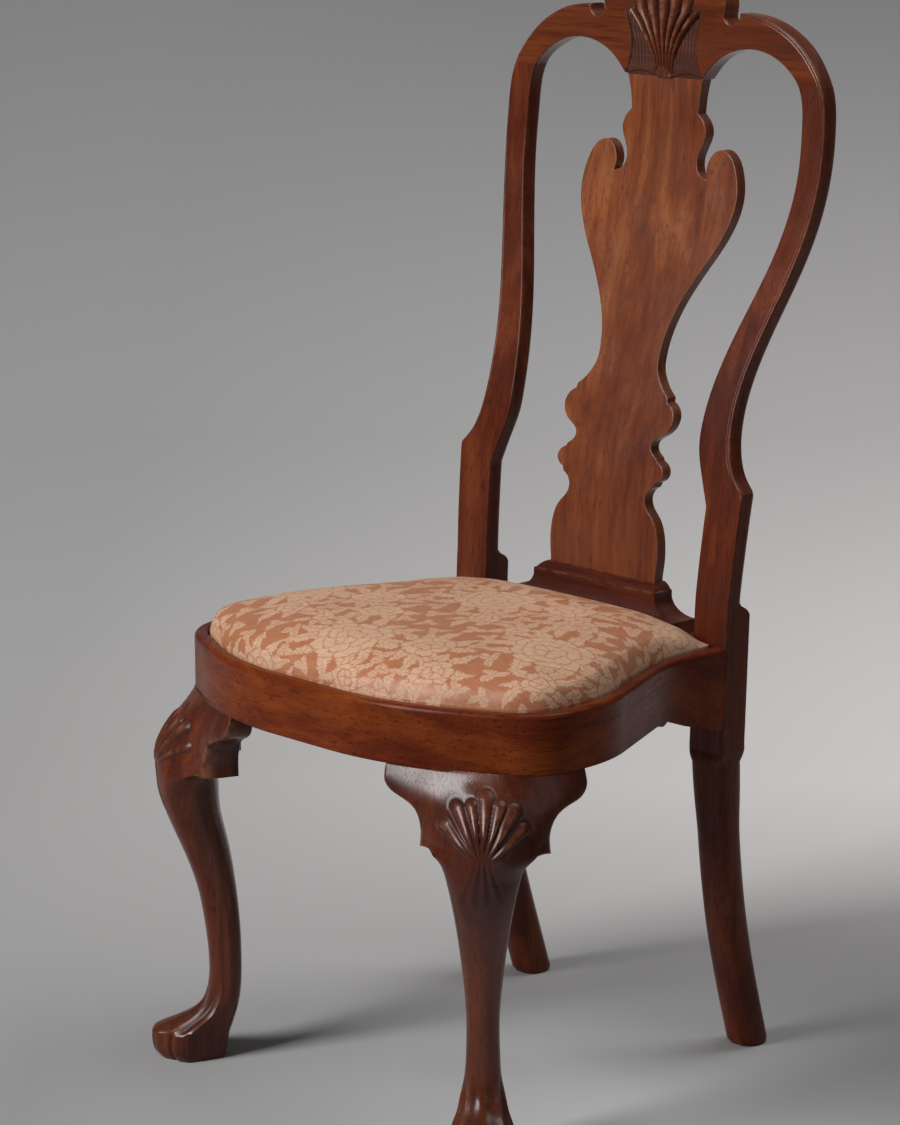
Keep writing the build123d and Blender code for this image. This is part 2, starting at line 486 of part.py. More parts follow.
def make_slip_seat():
    """All pieces of the lift-out seat, by node name."""
    cover_inset = RIM_WIDTH + SEAT_GAP
    inner = cover_inset + COVER_THICKNESS
    rear = COVER_REAR_Y - COVER_THICKNESS
    bar = seat_slab(inner, rear, SLIP_BOTTOM, SLIP_TOP)
    bar = bar - seat_slab(inner + SLIP_BAR_WIDTH, rear - SLIP_BAR_WIDTH, SLIP_BOTTOM, SLIP_TOP)
    wide = SEAT_HALF_WIDTH
    front = bar & block(-wide, wide, SEAT_FRONT_Y, SLIP_JOINT_FRONT_Y, SLIP_BOTTOM, SLIP_TOP)
    back = bar & block(-wide, wide, SLIP_JOINT_REAR_Y, POST_FRONT_Y, SLIP_BOTTOM, SLIP_TOP)
    right = bar & block(0, wide, SLIP_JOINT_FRONT_Y, SLIP_JOINT_REAR_Y, SLIP_BOTTOM, SLIP_TOP)
    left = other_side(right)

    lap = SLIP_BAR_WIDTH - WEBBING_OVERLAP
    hole = seat_slab(inner + lap, rear - lap, SLIP_TOP, WEBBING_TOP)
    half = WEBBING_WIDTH / 2
    ways_x = [(i - (WEBBING_LENGTHWAYS - 1) / 2) * WEBBING_PITCH for i in range(WEBBING_LENGTHWAYS)]
    middle_y = (SLIP_JOINT_FRONT_Y + SLIP_JOINT_REAR_Y) / 2
    ways_y = [middle_y + (i - (WEBBING_CROSSWAYS - 1) / 2) * WEBBING_PITCH for i in range(WEBBING_CROSSWAYS)]
    strips = [block(x - half, x + half, SEAT_FRONT_Y, POST_FRONT_Y, SLIP_TOP, WEBBING_TOP) for x in ways_x]
    strips += [block(-wide, wide, y - half, y + half, SLIP_TOP, WEBBING_TOP) for y in ways_y]
    webbing = (strips[0] + strips[1:]) & hole

    spots = []
    for shift in (-TACK_SPREAD, TACK_SPREAD):
        for x in ways_x:
            at = x + shift
            slot = block(at - TACK_MARGIN, at + TACK_MARGIN, SEAT_FRONT_Y, POST_FRONT_Y, 0, PAD_BASE)
            ends = (hole & slot).bounding_box()
            spots += [(at, ends.min.Y + TACK_MARGIN), (at, ends.max.Y - TACK_MARGIN)]
        for y in ways_y:
            at = y + shift
            slot = block(-wide, wide, at - TACK_MARGIN, at + TACK_MARGIN, 0, PAD_BASE)
            ends = (hole & slot).bounding_box()
            spots += [(ends.min.X + TACK_MARGIN, at), (ends.max.X - TACK_MARGIN, at)]
    webbing_tacks = Compound(children=[tack(x, y, WEBBING_TOP, -1) for x, y in spots])
    hem_line = seat_face(HEM_TACK_INSET, POST_FRONT_Y).face().outer_wire()
    places = [hem_line.position_at((i + 0.5) / HEM_TACKS) for i in range(HEM_TACKS)]
    hem_spots = [(p.X, p.Y) for p in places if p.Y < SEAT_WAIST_Y]
    cover_tacks = Compound(children=[tack(x, y, RAIL_TOP, 1) for x, y in hem_spots])
    holes = [hole_for_tack(x, y, WEBBING_TOP, -1) for x, y in spots]
    holes += [hole_for_tack(x, y, RAIL_TOP, 1) for x, y in hem_spots]

    shell = seat_slab(cover_inset, COVER_REAR_Y, RAIL_TOP, PAD_BASE)
    shell = shell + make_pad(cover_inset, COVER_REAR_Y, COVER_THICKNESS)
    pad = make_pad(inner, rear, 0)
    core = seat_slab(inner, rear, SLIP_BOTTOM, PAD_BASE)
    window = seat_slab(HEM_INSET, rear - SLIP_BAR_WIDTH, RAIL_TOP, SLIP_BOTTOM)
    cover = shell - pad - core - window
    pierced = {"slip_frame_front": front, "slip_frame_back": back, "slip_frame_left": left,
               "slip_frame_right": right, "seat_webbing": webbing, "damask_cover": cover}
    nodes = {name: shape - holes for name, shape in pierced.items()}
    nodes.update({"webbing_tacks": webbing_tacks, "seat_stuffing": pad, "cover_tacks": cover_tacks})
    return nodes


def main():
    """Build every node, cut the joints and write the STEP files."""
    post = make_post()
    leg = make_front_leg()
    rear_rail = make_rear_rail()
    front_rail, side_rail = make_rails(post, rear_rail)
    front_rim, side_rim = make_rims(post)
    front_block, side_block = make_knee_blocks(leg)
    splat = make_splat()
    shoe = make_shoe() - splat
    crest = make_crest() - splat - post - other_side(post)

    wedge = Pos(LEG_X, LEG_Y, RAIL_TOP - WEDGE_DEPTH / 2) * Rot(0, 0, LEG_ANGLE) * Box(
        WEDGE_THICKNESS, WEDGE_LENGTH, WEDGE_DEPTH)
    leg = leg - wedge
    for piece in (side_rail, leg, wedge):
        front_rail = front_rail - piece - other_side(piece)
    post = post - side_rail - rear_rail
    peg_y = (POST_FRONT_Y + BLOCK_BACK_Y) / 2
    pegs = [prism_x(Pos(peg_y, z) * Circle(PEG_RADIUS), THROUGH_TENON_INNER, POST_OUTER_X)
            for z in PEG_HEIGHTS]
    for peg in pegs:
        post = post - peg
        side_rail = side_rail - peg
    peg_x = CREST_TENON_INNER + CREST_TENON_WIDTH / 2
    crest_peg = prism_y(Pos(peg_x, CREST_PEG_Z) * Circle(CREST_PEG_RADIUS), CREST_TENON_FRONT_Y, CREST_BACK_Y)
    crest = crest - crest_peg - other_side(crest_peg)
    post = post - crest_peg

    nodes = {
        "crest_rail": crest, "splat": splat, "shoe": shoe,
        "left_rear_post": other_side(post), "right_rear_post": post, "rear_rail": rear_rail,
        "front_rail": front_rail, "left_side_rail": other_side(side_rail), "right_side_rail": side_rail,
        "front_rim": front_rim, "left_rim": other_side(side_rim), "right_rim": side_rim,
        "left_front_leg": other_side(leg), "right_front_leg": leg,
        "left_front_knee_block": other_side(front_block), "left_side_knee_block": other_side(side_block),
        "right_front_knee_block": front_block, "right_side_knee_block": side_block,
    }
    nodes["side_rail_pegs"] = Compound(children=[p for peg in pegs for p in (peg, other_side(peg))])
    nodes["crest_pegs"] = Compound(children=[crest_peg, other_side(crest_peg)])
    nodes["leg_tenon_wedges"] = Compound(children=[wedge, other_side(wedge)])
    nodes.update(make_slip_seat())

    os.makedirs("parts", exist_ok=True)
    for name, shape in nodes.items():
        export_step(shape, os.path.join("parts", name + ".step"))


main()
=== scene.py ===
"""Looks of the carved side chair: rounded and carved wood, stuffed damask seat, studio floor and light.

Lengths are millimetres until a mesh is made. The sitter faces -Y, +Z is up, x = 0 is the middle.
"""

import math

import bmesh
import bpy
import numpy as np
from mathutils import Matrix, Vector
from mathutils.geometry import delaunay_2d_cdt


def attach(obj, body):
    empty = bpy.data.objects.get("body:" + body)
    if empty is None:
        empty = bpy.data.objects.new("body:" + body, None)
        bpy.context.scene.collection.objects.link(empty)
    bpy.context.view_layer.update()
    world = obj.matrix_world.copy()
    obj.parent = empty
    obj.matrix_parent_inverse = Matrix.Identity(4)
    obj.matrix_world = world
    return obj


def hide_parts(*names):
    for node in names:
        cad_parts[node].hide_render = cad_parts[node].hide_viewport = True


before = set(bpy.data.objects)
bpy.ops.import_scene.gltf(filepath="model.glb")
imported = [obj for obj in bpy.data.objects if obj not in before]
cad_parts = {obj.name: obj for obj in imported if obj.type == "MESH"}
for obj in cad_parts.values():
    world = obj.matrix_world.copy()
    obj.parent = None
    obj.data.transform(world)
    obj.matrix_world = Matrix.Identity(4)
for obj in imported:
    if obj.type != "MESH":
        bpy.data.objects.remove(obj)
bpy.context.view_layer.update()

MM = 0.001
TINY = 1e-9
SMOOTH_ANGLE = math.radians(38)

# Sizes shared with the solids
POST_FRONT_Y = 123.0
SEAT_FRONT_Y = -250.0
SEAT_HALF = 242.0
REAR_HALF = 183.0
RAIL_BOTTOM = 364.0
RAIL_TOP = 402.0
RIM_TOP = 420.0
RAIL_WIDTH = 56.0
RIM_WIDTH = 13.0
RAIL_JOINT_Y = -165.0
RIM_JOINT_Y = -185.0
SEAM_Z = 940.0
STILE_THICKNESS = 21.0
CREST_FRONT_Y = 226.0
CREST_BACK_Y = 250.0
LEG_X = 178.7
LEG_Y = -190.7


# Curves and fields

SAME_POINT = 1e-6
SHARP_TURN = 0.35
CHUNK = 4000


def unit(vectors):
    """Rows of an array brought to length one."""
    return vectors / np.maximum(np.linalg.norm(vectors, axis=1), TINY)[:, None]


def quarter_left(directions):
    """Plane directions turned a quarter to the left."""
    return np.stack([-directions[:, 1], directions[:, 0]], 1)


def run_length(line):
    """Length along a polyline at each of its points."""
    return np.concatenate([[0], np.cumsum(np.linalg.norm(np.diff(line, axis=0), axis=1))])


def cubic(t, p, at):
    """Natural cubic through values p at knots t, read at the places given.

    With second derivatives m solved from the usual tridiagonal system, each span is
    p(t) = (m0 (t1-t)^3 + m1 (t-t0)^3) / 6h + (p0/h - m0 h/6)(t1-t) + (p1/h - m1 h/6)(t-t0).
    """
    t = np.asarray(t, float)
    p = np.asarray(p, float)
    n = len(t)
    h = np.diff(t)
    flat = p.reshape(n, -1)
    a = np.eye(n)
    r = np.zeros((n, flat.shape[1]))
    for i in range(1, n - 1):
        a[i, i - 1:i + 2] = h[i - 1], 2 * (h[i - 1] + h[i]), h[i]
        r[i] = 6 * ((flat[i + 1] - flat[i]) / h[i] - (flat[i] - flat[i - 1]) / h[i - 1])
    m = np.linalg.solve(a, r)
    at = np.asarray(at, float)
    i = np.clip(np.searchsorted(t, at) - 1, 0, n - 2)
    lo = (at - t[i])[:, None]
    hi = (t[i + 1] - at)[:, None]
    w = h[i][:, None]
    out = (m[i] * hi ** 3 + m[i + 1] * lo ** 3) / (6 * w)
    out += (flat[i] / w - m[i] * w / 6) * hi + (flat[i + 1] / w - m[i + 1] * w / 6) * lo
    return out.reshape((len(at),) + p.shape[1:])


def natural_spline(points, count):
    """Natural cubic through points by the length of the chords, sampled count times."""
    p = np.asarray(points, float)
    t = run_length(p)
    return cubic(t, p, np.linspace(0, t[-1], count))


def steps(value, low, high):
    """Smooth ramp 3s^2 - 2s^3 from 0 at low to 1 at high."""
    s = np.clip((value - low) / (high - low), 0, 1)
    return s * s * (3 - 2 * s)


def bump(value, middle, width):
    """Bell exp(-((v - middle) / width)^2)."""
    return np.exp(-((value - middle) / width) ** 2)


def squared_round(angle, power):
    """Cosine, sine and the factor that takes them out to the curve |x|^p + |y|^p = 1."""
    c, s = np.cos(angle), np.sin(angle)
    return c, s, (np.abs(c) ** power + np.abs(s) ** power) ** (-1 / power)


def arc(start, middle, end, count):
    """Points on the circle through three points."""
    (ax, ay), (bx, by), (cx, cy) = start, middle, end
    d = 2 * (ax * (by - cy) + bx * (cy - ay) + cx * (ay - by))
    sq = [ax * ax + ay * ay, bx * bx + by * by, cx * cx + cy * cy]
    ux = (sq[0] * (by - cy) + sq[1] * (cy - ay) + sq[2] * (ay - by)) / d
    uy = (sq[0] * (cx - bx) + sq[1] * (ax - cx) + sq[2] * (bx - ax)) / d
    ang = np.unwrap([math.atan2(p[1] - uy, p[0] - ux) for p in (start, middle, end)])
    t = np.linspace(ang[0], ang[2], count)
    radius = math.hypot(ax - ux, ay - uy)
    return np.stack([ux + radius * np.cos(t), uy + radius * np.sin(t)], 1)


def even(points, spacing, closed=False):
    """The same polyline with points at an even spacing; corners stay where they turn sharply."""
    p = np.asarray(points, float)
    if closed:
        p = np.vstack([p, p[:1]])
    apart = np.linalg.norm(np.diff(p, axis=0), axis=1) > SAME_POINT
    p = p[np.append(True, apart)]
    d = unit(np.diff(p, axis=0))
    turn = np.arccos(np.clip((d[1:] * d[:-1]).sum(1), -1, 1))
    knots = [0, *(np.where(turn > SHARP_TURN)[0] + 1), len(p) - 1]
    out = []
    for a, b in zip(knots[:-1], knots[1:]):
        part = p[a:b + 1]
        s = run_length(part)
        n = max(1, int(round(s[-1] / spacing)))
        at = np.linspace(0, s[-1], n + 1)[:-1]
        out.append(np.stack([np.interp(at, s, part[:, k]) for k in (0, 1)], 1))
    if not closed:
        out.append(p[-1:])
    return np.vstack(out)


def line_distance(points, line, closed=False):
    """Distance from each point to a polyline."""
    a = line if closed else line[:-1]
    b = np.roll(line, -1, axis=0) if closed else line[1:]
    d = b - a
    best = np.empty(len(points))
    for start in range(0, len(points), CHUNK):
        p = points[start:start + CHUNK, None, :]
        t = np.clip(((p - a) * d).sum(2) / np.maximum((d * d).sum(1), TINY), 0, 1)
        gap = p - (a + t[..., None] * d)
        best[start:start + CHUNK] = np.sqrt((gap * gap).sum(2)).min(1)
    return best


def inside(points, loop):
    """True where a point lies in a closed loop, by counting crossings."""
    ax, ay = loop.T
    bx, by = np.roll(loop, -1, axis=0).T
    rise = np.where(by == ay, TINY, by - ay)
    hit = np.zeros(len(points), bool)
    for start in range(0, len(points), CHUNK):
        x, y = points[start:start + CHUNK, :1], points[start:start + CHUNK, 1:]
        span = (ay > y) != (by > y)
        cross = (bx - ax) * (y - ay) / rise + ax
        hit[start:start + CHUNK] = (span & (x < cross)).sum(1) % 2 == 1
    return hit


# Meshes

ROUND_STEPS = np.radians([0, 14, 28, 42, 56, 72, 90])
WALL_ROWS = (0.03, 0.5, 0.97)
FLAT_MARGIN = 0.6
SEAM_SPACING = 0.5
HEX_ROW = 0.866
RING_SHARE = 0.93
GRID_MARGIN = 0.45
INSIDE_ONLY = 1


def add_object(name, data):
    """New object of a mesh, lamp or camera in the scene."""
    thing = bpy.data.objects.new(name, data)
    bpy.context.scene.collection.objects.link(thing)
    return thing


def new_mesh(name, verts, faces):
    """Closed mesh from places in millimetres, all its faces turned to the outside."""
    mesh = bpy.data.meshes.new(name)
    mesh.from_pydata((np.asarray(verts) * MM).tolist(), [], faces)
    mesh.validate()
    work = bmesh.new()
    work.from_mesh(mesh)
    bmesh.ops.recalc_face_normals(work, faces=work.faces)
    work.to_mesh(mesh)
    work.free()
    return mesh


def set_field(mesh, name, values):
    """Per-vertex value of a mesh that its material reads."""
    mesh.attributes.new(name, "FLOAT", "POINT").data.foreach_set("value", np.asarray(values, np.float32))


def smooth(mesh):
    """Shade all faces of a mesh smooth."""
    mesh.polygons.foreach_set("use_smooth", np.ones(len(mesh.polygons), bool))


def make_piece(name, skin, material, body, nodes, fields=None):
    """Closed mesh object in the part's frame that stands for CAD nodes; fields are per-vertex values."""
    mesh = new_mesh(name, *skin)
    for key, values in (fields or {}).items():
        set_field(mesh, key, values)
    piece = add_object(name, mesh)
    smooth(mesh)
    mesh.set_sharp_from_angle(angle=SMOOTH_ANGLE)
    mesh.materials.append(material)
    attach(piece, body)
    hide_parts(*nodes)


def frame_piece(name, node, material, skin, fields=None):
    """Walnut piece of the fixed frame."""
    make_piece(name, skin, material, "frame", [node], fields)


def both_sides(name, node, material, skin, fields=None):
    """Right piece of the frame and its mirror image, whose faces are turned to stay outward."""
    frame_piece(name.format("right"), node.format("right"), material, skin, fields)
    verts, faces = skin
    other = np.array(verts) * (-1, 1, 1), [f[::-1] for f in faces]
    frame_piece(name.format("left"), node.format("left"), material, other, fields)


def ring_stack(rings):
    """Closed skin over a stack of rings with equal counts, first and last ring capped by a fan."""
    rings = np.asarray(rings, float)
    rows, columns = rings.shape[:2]
    index = np.arange(rows * columns).reshape(rows, columns)
    after = np.roll(index, -1, axis=1)
    quads = np.stack([index[:-1], after[:-1], after[1:], index[1:]], 2).reshape(-1, 4)
    low = np.full(columns, rows * columns)
    fans = np.vstack([np.stack([low, after[0], index[0]], 1), np.stack([low + 1, index[-1], after[-1]], 1)])
    verts = np.vstack([rings.reshape(-1, 3), rings[0].mean(0), rings[-1].mean(0)])
    return verts, quads.tolist() + fans.tolist()


def round_drop(depth, radius):
    """How far a quarter-round of this radius falls back at a depth from the edge."""
    s = np.clip(depth / radius, 0, 1)
    return radius * (1 - np.sqrt(1 - (1 - s) ** 2))


def hex_grid(low, high, spacing):
    """Points of a staggered grid over a box in the plane."""
    across, up = np.meshgrid(np.arange(low[0], high[0], spacing),
                             np.arange(low[1], high[1], spacing * HEX_ROW))
    across = across + (np.arange(across.shape[0])[:, None] % 2) * spacing / 2
    return np.stack([across.ravel(), up.ravel()], 1)


def plate_points(loop, spacing, depths, detail, depth_of):
    """Points inside an outline: copies of it drawn in to each depth, then a grid, finer in the detail box."""
    after = np.roll(loop, -1, axis=0) - loop
    before = loop - np.roll(loop, 1, axis=0)
    inward = quarter_left(unit(unit(after) + unit(before)))
    points = []
    for depth in depths:
        ring = loop + inward * depth
        points.append(ring[inside(ring, loop) & (depth_of(ring) > depth * RING_SHARE)])
    grid = hex_grid(loop.min(0), loop.max(0), spacing)
    if detail:
        low, high, fine = detail
        boxed = np.all((grid > low) & (grid < high), axis=1)
        grid = np.vstack([grid[~boxed], hex_grid(low, high, fine)])
    grid = grid[inside(grid, loop)]
    points.append(grid[line_distance(grid, loop, True) > depths[-1] + GRID_MARGIN * spacing])
    return points


def seam_points(start, end):
    """Close-set points between the ends of a seam, so that both sides of it follow the same section."""
    count = int(math.dist(start, end) / SEAM_SPACING)
    return np.linspace(start, end, count + 1)[1:-1]


def slab(outline, spacing, radii, front, back, rings=(), depth_of=None, detail=None):
    """Plate cut to an outline in (x, z), with its own front and back surfaces y(x, z, edge depth).

    The outline is filled with rings at the depths of the rounded edges and a grid inside them,
    joined by a Delaunay mesh; front and back share it and a wall joins them along the outline.
    The depth is the distance to the outline, or to the edges that depth_of knows. Returns vertices,
    faces and the edge depth of every vertex.
    """
    loop = np.asarray(outline, float)
    area = 0.5 * np.sum(loop[:, 0] * np.roll(loop[:, 1], -1) - np.roll(loop[:, 0], -1) * loop[:, 1])
    if area < 0:
        loop = loop[::-1]
    n = len(loop)
    depth_of = depth_of or (lambda flat: line_distance(flat, loop, True))
    rounds = {round(float(r * (1 - math.cos(a))), 3) for r in radii for a in ROUND_STEPS[1:]}
    depths = sorted(rounds | {r + FLAT_MARGIN for r in radii} | set(rings))
    flat = np.vstack([loop] + plate_points(loop, spacing, depths, detail, depth_of))
    edges = [(i, (i + 1) % n) for i in range(n)]
    out = delaunay_2d_cdt([Vector(p) for p in flat.tolist()], edges, [], INSIDE_ONLY, SAME_POINT)
    flat = np.array([tuple(v) for v in out[0]])
    tris = np.array(out[2])
    depth = depth_of(flat)
    rim = np.zeros(n, int)
    for k, sources in enumerate(out[3]):
        for source in sources:
            if source < n:
                rim[source] = k
    x, z = flat[:, 0], flat[:, 1]
    y_front = front(x, z, depth)
    y_back = back(x, z, depth)
    count = len(flat)
    verts = [np.stack([x, y_front, z], 1), np.stack([x, y_back, z], 1)]
    field = [depth, depth]
    rows = [rim]
    for k, t in enumerate(WALL_ROWS):
        y = y_front[rim] * (1 - t) + y_back[rim] * t
        verts.append(np.stack([x[rim], y, z[rim]], 1))
        field.append(min(t, 1 - t) * np.abs(y_back - y_front)[rim])
        rows.append(2 * count + k * n + np.arange(n))
    rows.append(count + rim)
    walls = [np.stack([a, b, np.roll(b, -1), np.roll(a, -1)], 1) for a, b in zip(rows[:-1], rows[1:])]
    faces = tris.tolist() + (tris[:, ::-1] + count).tolist() + np.vstack(walls).tolist()
    return np.vstack(verts), faces, np.concatenate(field)


# Plan of the seat, the same rounded outline as the rails

SEAT_CORNERS = np.array([(-110.0, SEAT_FRONT_Y), (110.0, SEAT_FRONT_Y), (SEAT_HALF, -180.0),
                         (SEAT_HALF, -91.0), (REAR_HALF, 44.0), (REAR_HALF, POST_FRONT_Y + 40)])
SEAT_RADII = (300.0, 70.0, 150.0, 150.0)
ARC_STEP = 1.5
PATH_MARGIN = 0.4


def direction(start, end):
    """Unit vector from one point to another."""
    return (end - start) / np.linalg.norm(end - start)


def seat_path(inset, spacing):
    """Right half of the seat outline from the middle of the front to the post, drawn in by the inset."""
    path = [[(0.0, SEAT_FRONT_Y)]]
    for radius, before, corner, after in zip(SEAT_RADII, SEAT_CORNERS, SEAT_CORNERS[1:], SEAT_CORNERS[2:]):
        a = direction(before, corner)
        b = direction(corner, after)
        turn = math.atan2(a[0] * b[1] - a[1] * b[0], a @ b)
        start = corner - a * (radius * math.tan(abs(turn) / 2))
        normal = np.array([-a[1], a[0]]) * math.copysign(1, turn)
        centre = start + normal * radius
        angles = np.linspace(0, turn, max(6, int(abs(turn) * radius / ARC_STEP)))
        spoke = start - centre
        cos, sin = np.cos(angles), np.sin(angles)
        path.append(np.stack([centre[0] + spoke[0] * cos - spoke[1] * sin,
                              centre[1] + spoke[0] * sin + spoke[1] * cos], 1))
    line = even(np.vstack(path + [SEAT_CORNERS[-1:]]), spacing)
    inward = quarter_left(unit(np.gradient(line, axis=0)))
    return line + inward * inset, inward


def whole_path(spacing):
    """Seat outline from the left post round the front to the right post, with inward normals."""
    return [np.vstack([half[1:][::-1] * (-1, 1), half]) for half in seat_path(0.0, spacing)]


def clip_path(path, low, high):
    """The stretch of a path whose y lies between two values, ends placed exactly."""
    line, inward = path
    y = line[:, 1]
    keep = np.where((y > low + PATH_MARGIN) & (y < high - PATH_MARGIN))[0]
    first, last = keep[0], keep[-1]
    rows = [line[first:last + 1]]
    normals = [inward[first:last + 1]]
    for end, near in ((first, first - 1), (last, last + 1)):
        if 0 <= near < len(line):
            bound = low if y[near] <= low + PATH_MARGIN else high
            t = (bound - y[end]) / (y[near] - y[end])
            point = line[end] + (line[near] - line[end]) * t
            rows.insert(0 if near < end else len(rows), point[None])
            normals.insert(0 if near < end else len(normals), inward[end][None])
    return np.vstack(rows), np.vstack(normals)


def sweep(path, section, bottom=None):
    """Carry a closed section of (inset, z) along a plan path; bottom(y) replaces its lowest z."""
    line, inward = path
    high = section[:, 1].max()
    drop = high - section[:, 1]
    stretch = np.ones(len(line))
    if bottom is not None:
        stretch = (high - bottom(line[:, 1])) / drop.max()
    plan = line[:, None, :] + section[None, :, :1] * inward[:, None, :]
    z = high - stretch[:, None] * drop[None, :]
    return ring_stack(np.concatenate([plan, z[..., None]], 2))


def rounded_box(width, low, high, radii, count):
    """Section loop of a rail: four quarter-rounds, each with a point on the flat just before and after it.

    The radii go from the outer lower edge over the top to the inner lower edge.
    """
    corners = ((0, low, 1, 1), (0, high, 1, -1), (width, high, -1, -1), (width, low, -1, 1))
    loop = []
    for (x, z, sx, sz), r, start in zip(corners, radii, (270, 180, 90, 0)):
        angle = np.radians(np.linspace(start, start - 90, count))
        turn = np.stack([x + sx * r + r * np.cos(angle), z + sz * r + r * np.sin(angle)], 1)
        lead, tail = (np.array([math.sin(a), -math.cos(a)]) * FLAT_MARGIN for a in angle[[0, -1]])
        loop.append(np.vstack([turn[0] - lead, turn, turn[-1] + tail]))
    return np.vstack(loop)


# Materials

def new_material(name):
    """New material with its node tree, which holds an output and the main shader."""
    material = bpy.data.materials.new(name)
    material.use_nodes = True
    tree = material.node_tree
    tree.nodes.clear()
    out = tree.nodes.new("ShaderNodeOutputMaterial")
    shader = tree.nodes.new("ShaderNodeBsdfPrincipled")
    tree.links.new(shader.outputs["BSDF"], out.inputs["Surface"])
    return material, tree, shader


def feed(socket, value):
    """Link a socket to an input, or write a number or colour into it."""
    if isinstance(value, bpy.types.NodeSocket):
        socket.id_data.links.new(value, socket)
    elif socket.type == "RGBA":
        socket.default_value = (*value, 1)
    else:
        socket.default_value = value


def set_inputs(node, **values):
    """Feed the named inputs of a node; names with spaces use underscores here."""
    for label, value in values.items():
        feed(node.inputs[label.replace("_", " ")], value)


def add_node(tree, kind, **values):
    """New shader node with its inputs fed."""
    node = tree.nodes.new("ShaderNode" + kind)
    set_inputs(node, **values)
    return node


def mix_colour(factor, a, b):
    """Mix of two colours, each a socket or a value, by a socket."""
    node = add_node(factor.id_data, "Mix")
    node.data_type = "RGBA"
    for index, value in ((0, factor), (6, a), (7, b)):
        feed(node.inputs[index], value)
    return node.outputs[2]


def math_node(operation, a, b=0.0, c=0.0):
    """One scalar operation on a socket; the other arguments are sockets or numbers."""
    node = add_node(a.id_data, "Math")
    node.operation = operation
    for socket, value in zip(node.inputs, (a, b, c)):
        feed(socket, value)
    return node.outputs[0]


def times(a, b):
    """Product of a socket and a socket or number."""
    return math_node("MULTIPLY", a, b)


def plus(a, b):
    """Sum of a socket and a socket or number."""
    return math_node("ADD", a, b)


def noise(vector, scale, detail, rough=0.55, distortion=0.0):
    """Noise value on a vector."""
    node = add_node(vector.id_data, "TexNoise", Vector=vector, Scale=scale, Detail=detail, Roughness=rough,
                    Distortion=distortion)
    return node.outputs["Fac"]


def wave(vector, axis, scale, distortion):
    """Bands across one axis of a vector."""
    node = add_node(vector.id_data, "TexWave", Vector=vector, Scale=scale, Distortion=distortion)
    node.bands_direction = axis
    return node.outputs["Fac"]


def spread(value, low, high, to_low=0.0, to_high=1.0):
    """Map a value from one range to another, clamped."""
    node = add_node(value.id_data, "MapRange", Value=value, From_Min=low, From_Max=high, To_Min=to_low,
                    To_Max=to_high)
    return node.outputs["Result"]


def attribute(tree, name):
    """Per-vertex value of a piece."""
    node = add_node(tree, "Attribute")
    node.attribute_name = name
    return node.outputs["Fac"]


def placed(tree, scale=(1, 1, 1), turn=(0, 0, 0), shift=(0, 0, 0)):
    """Object coordinates, turned, scaled and shifted."""
    place = add_node(tree, "TexCoord").outputs["Object"]
    node = add_node(tree, "Mapping", Vector=place, Scale=scale, Rotation=turn, Location=shift)
    return node.outputs["Vector"]


def split_xyz(vector):
    """The three parts of a vector."""
    return add_node(vector.id_data, "SeparateXYZ", Vector=vector).outputs


def placed_round(tree, shift):
    """Object coordinates bent round the seat's middle: drawn-out length of arc, distance out, height."""
    right, back, up = split_xyz(placed(tree, shift=(0, ROUND_MIDDLE, 0)))
    turn = math_node("ARCTAN2", right, times(back, -1.0))
    out = math_node("SQRT", plus(times(right, right), times(back, back)))
    run = math_node("MULTIPLY_ADD", turn, ROUND_RADIUS * DRAWN_SHARE, shift)
    return add_node(tree, "CombineXYZ", X=run, Y=out, Z=up).outputs[0]


def bump_node(height, strength, distance):
    """Normal from a height."""
    node = add_node(height.id_data, "Bump", Height=height, Strength=strength, Distance=distance)
    return node.outputs["Normal"]


def new_group(name, inputs, outputs):
    """Empty shader group with named sockets; returns the group, its input sockets and its output node."""
    group = bpy.data.node_groups.new(name, "ShaderNodeTree")
    for side, sockets in (("INPUT", inputs), ("OUTPUT", outputs)):
        for label, kind in sockets.items():
            group.interface.new_socket(label, in_out=side, socket_type="NodeSocket" + kind)
    start = group.nodes.new("NodeGroupInput")
    return group, start.outputs, group.nodes.new("NodeGroupOutput")


def use_group(tree, group, **values):
    """Place a group in a material with its own values."""
    node = add_node(tree, "Group")
    node.node_tree = group
    set_inputs(node, **values)
    return node.outputs


def srgb(*display):
    """Linear colour of an 8-bit display colour."""
    shares = [v / 255 for v in display]
    return tuple(v / 12.92 if v <= 0.04045 else ((v + 0.055) / 1.055) ** 2.4 for v in shares)


def grain_group():
    """Wood grain: broad streaks, fine lines and pores drawn out along the wood, over slow clouds."""
    group, given, end = new_group(
        "wood_grain", {"Drawn": "Vector", "Place": "Vector", "Dark": "Color", "Mid": "Color",
                       "Light": "Color", "Pore": "Color", "Gloss": "Float"},
        {"Color": "Color", "Roughness": "Float", "Height": "Float"})
    wide = noise(given["Drawn"], 15.0, 5.0, 0.62, 1.1)
    fine = noise(given["Drawn"], 120.0, 4.0, 0.62, 0.3)
    pore = noise(given["Drawn"], 560.0, 2.0, 0.5)
    cloud = noise(given["Place"], 7.0, 3.0)
    streak = plus(times(wide, 0.7), times(fine, 0.3))
    colour = mix_colour(spread(streak, 0.34, 0.52), given["Dark"], given["Mid"])
    colour = mix_colour(spread(streak, 0.5, 0.68), colour, given["Light"])
    colour = mix_colour(spread(cloud, 0.38, 0.7, 0.0, 0.5), colour, given["Dark"])
    pores = spread(pore, 0.56, 0.68, 0.0, 0.55)
    colour = mix_colour(pores, colour, given["Pore"])
    patch = noise(given["Place"], 24.0, 3.0)
    rough = plus(given["Gloss"], spread(patch, 0.3, 0.7, -0.05, 0.09))
    set_inputs(end, Color=colour, Roughness=plus(rough, times(pores, 0.14)),
               Height=math_node("SUBTRACT", times(fine, 0.6), pores))
    return group


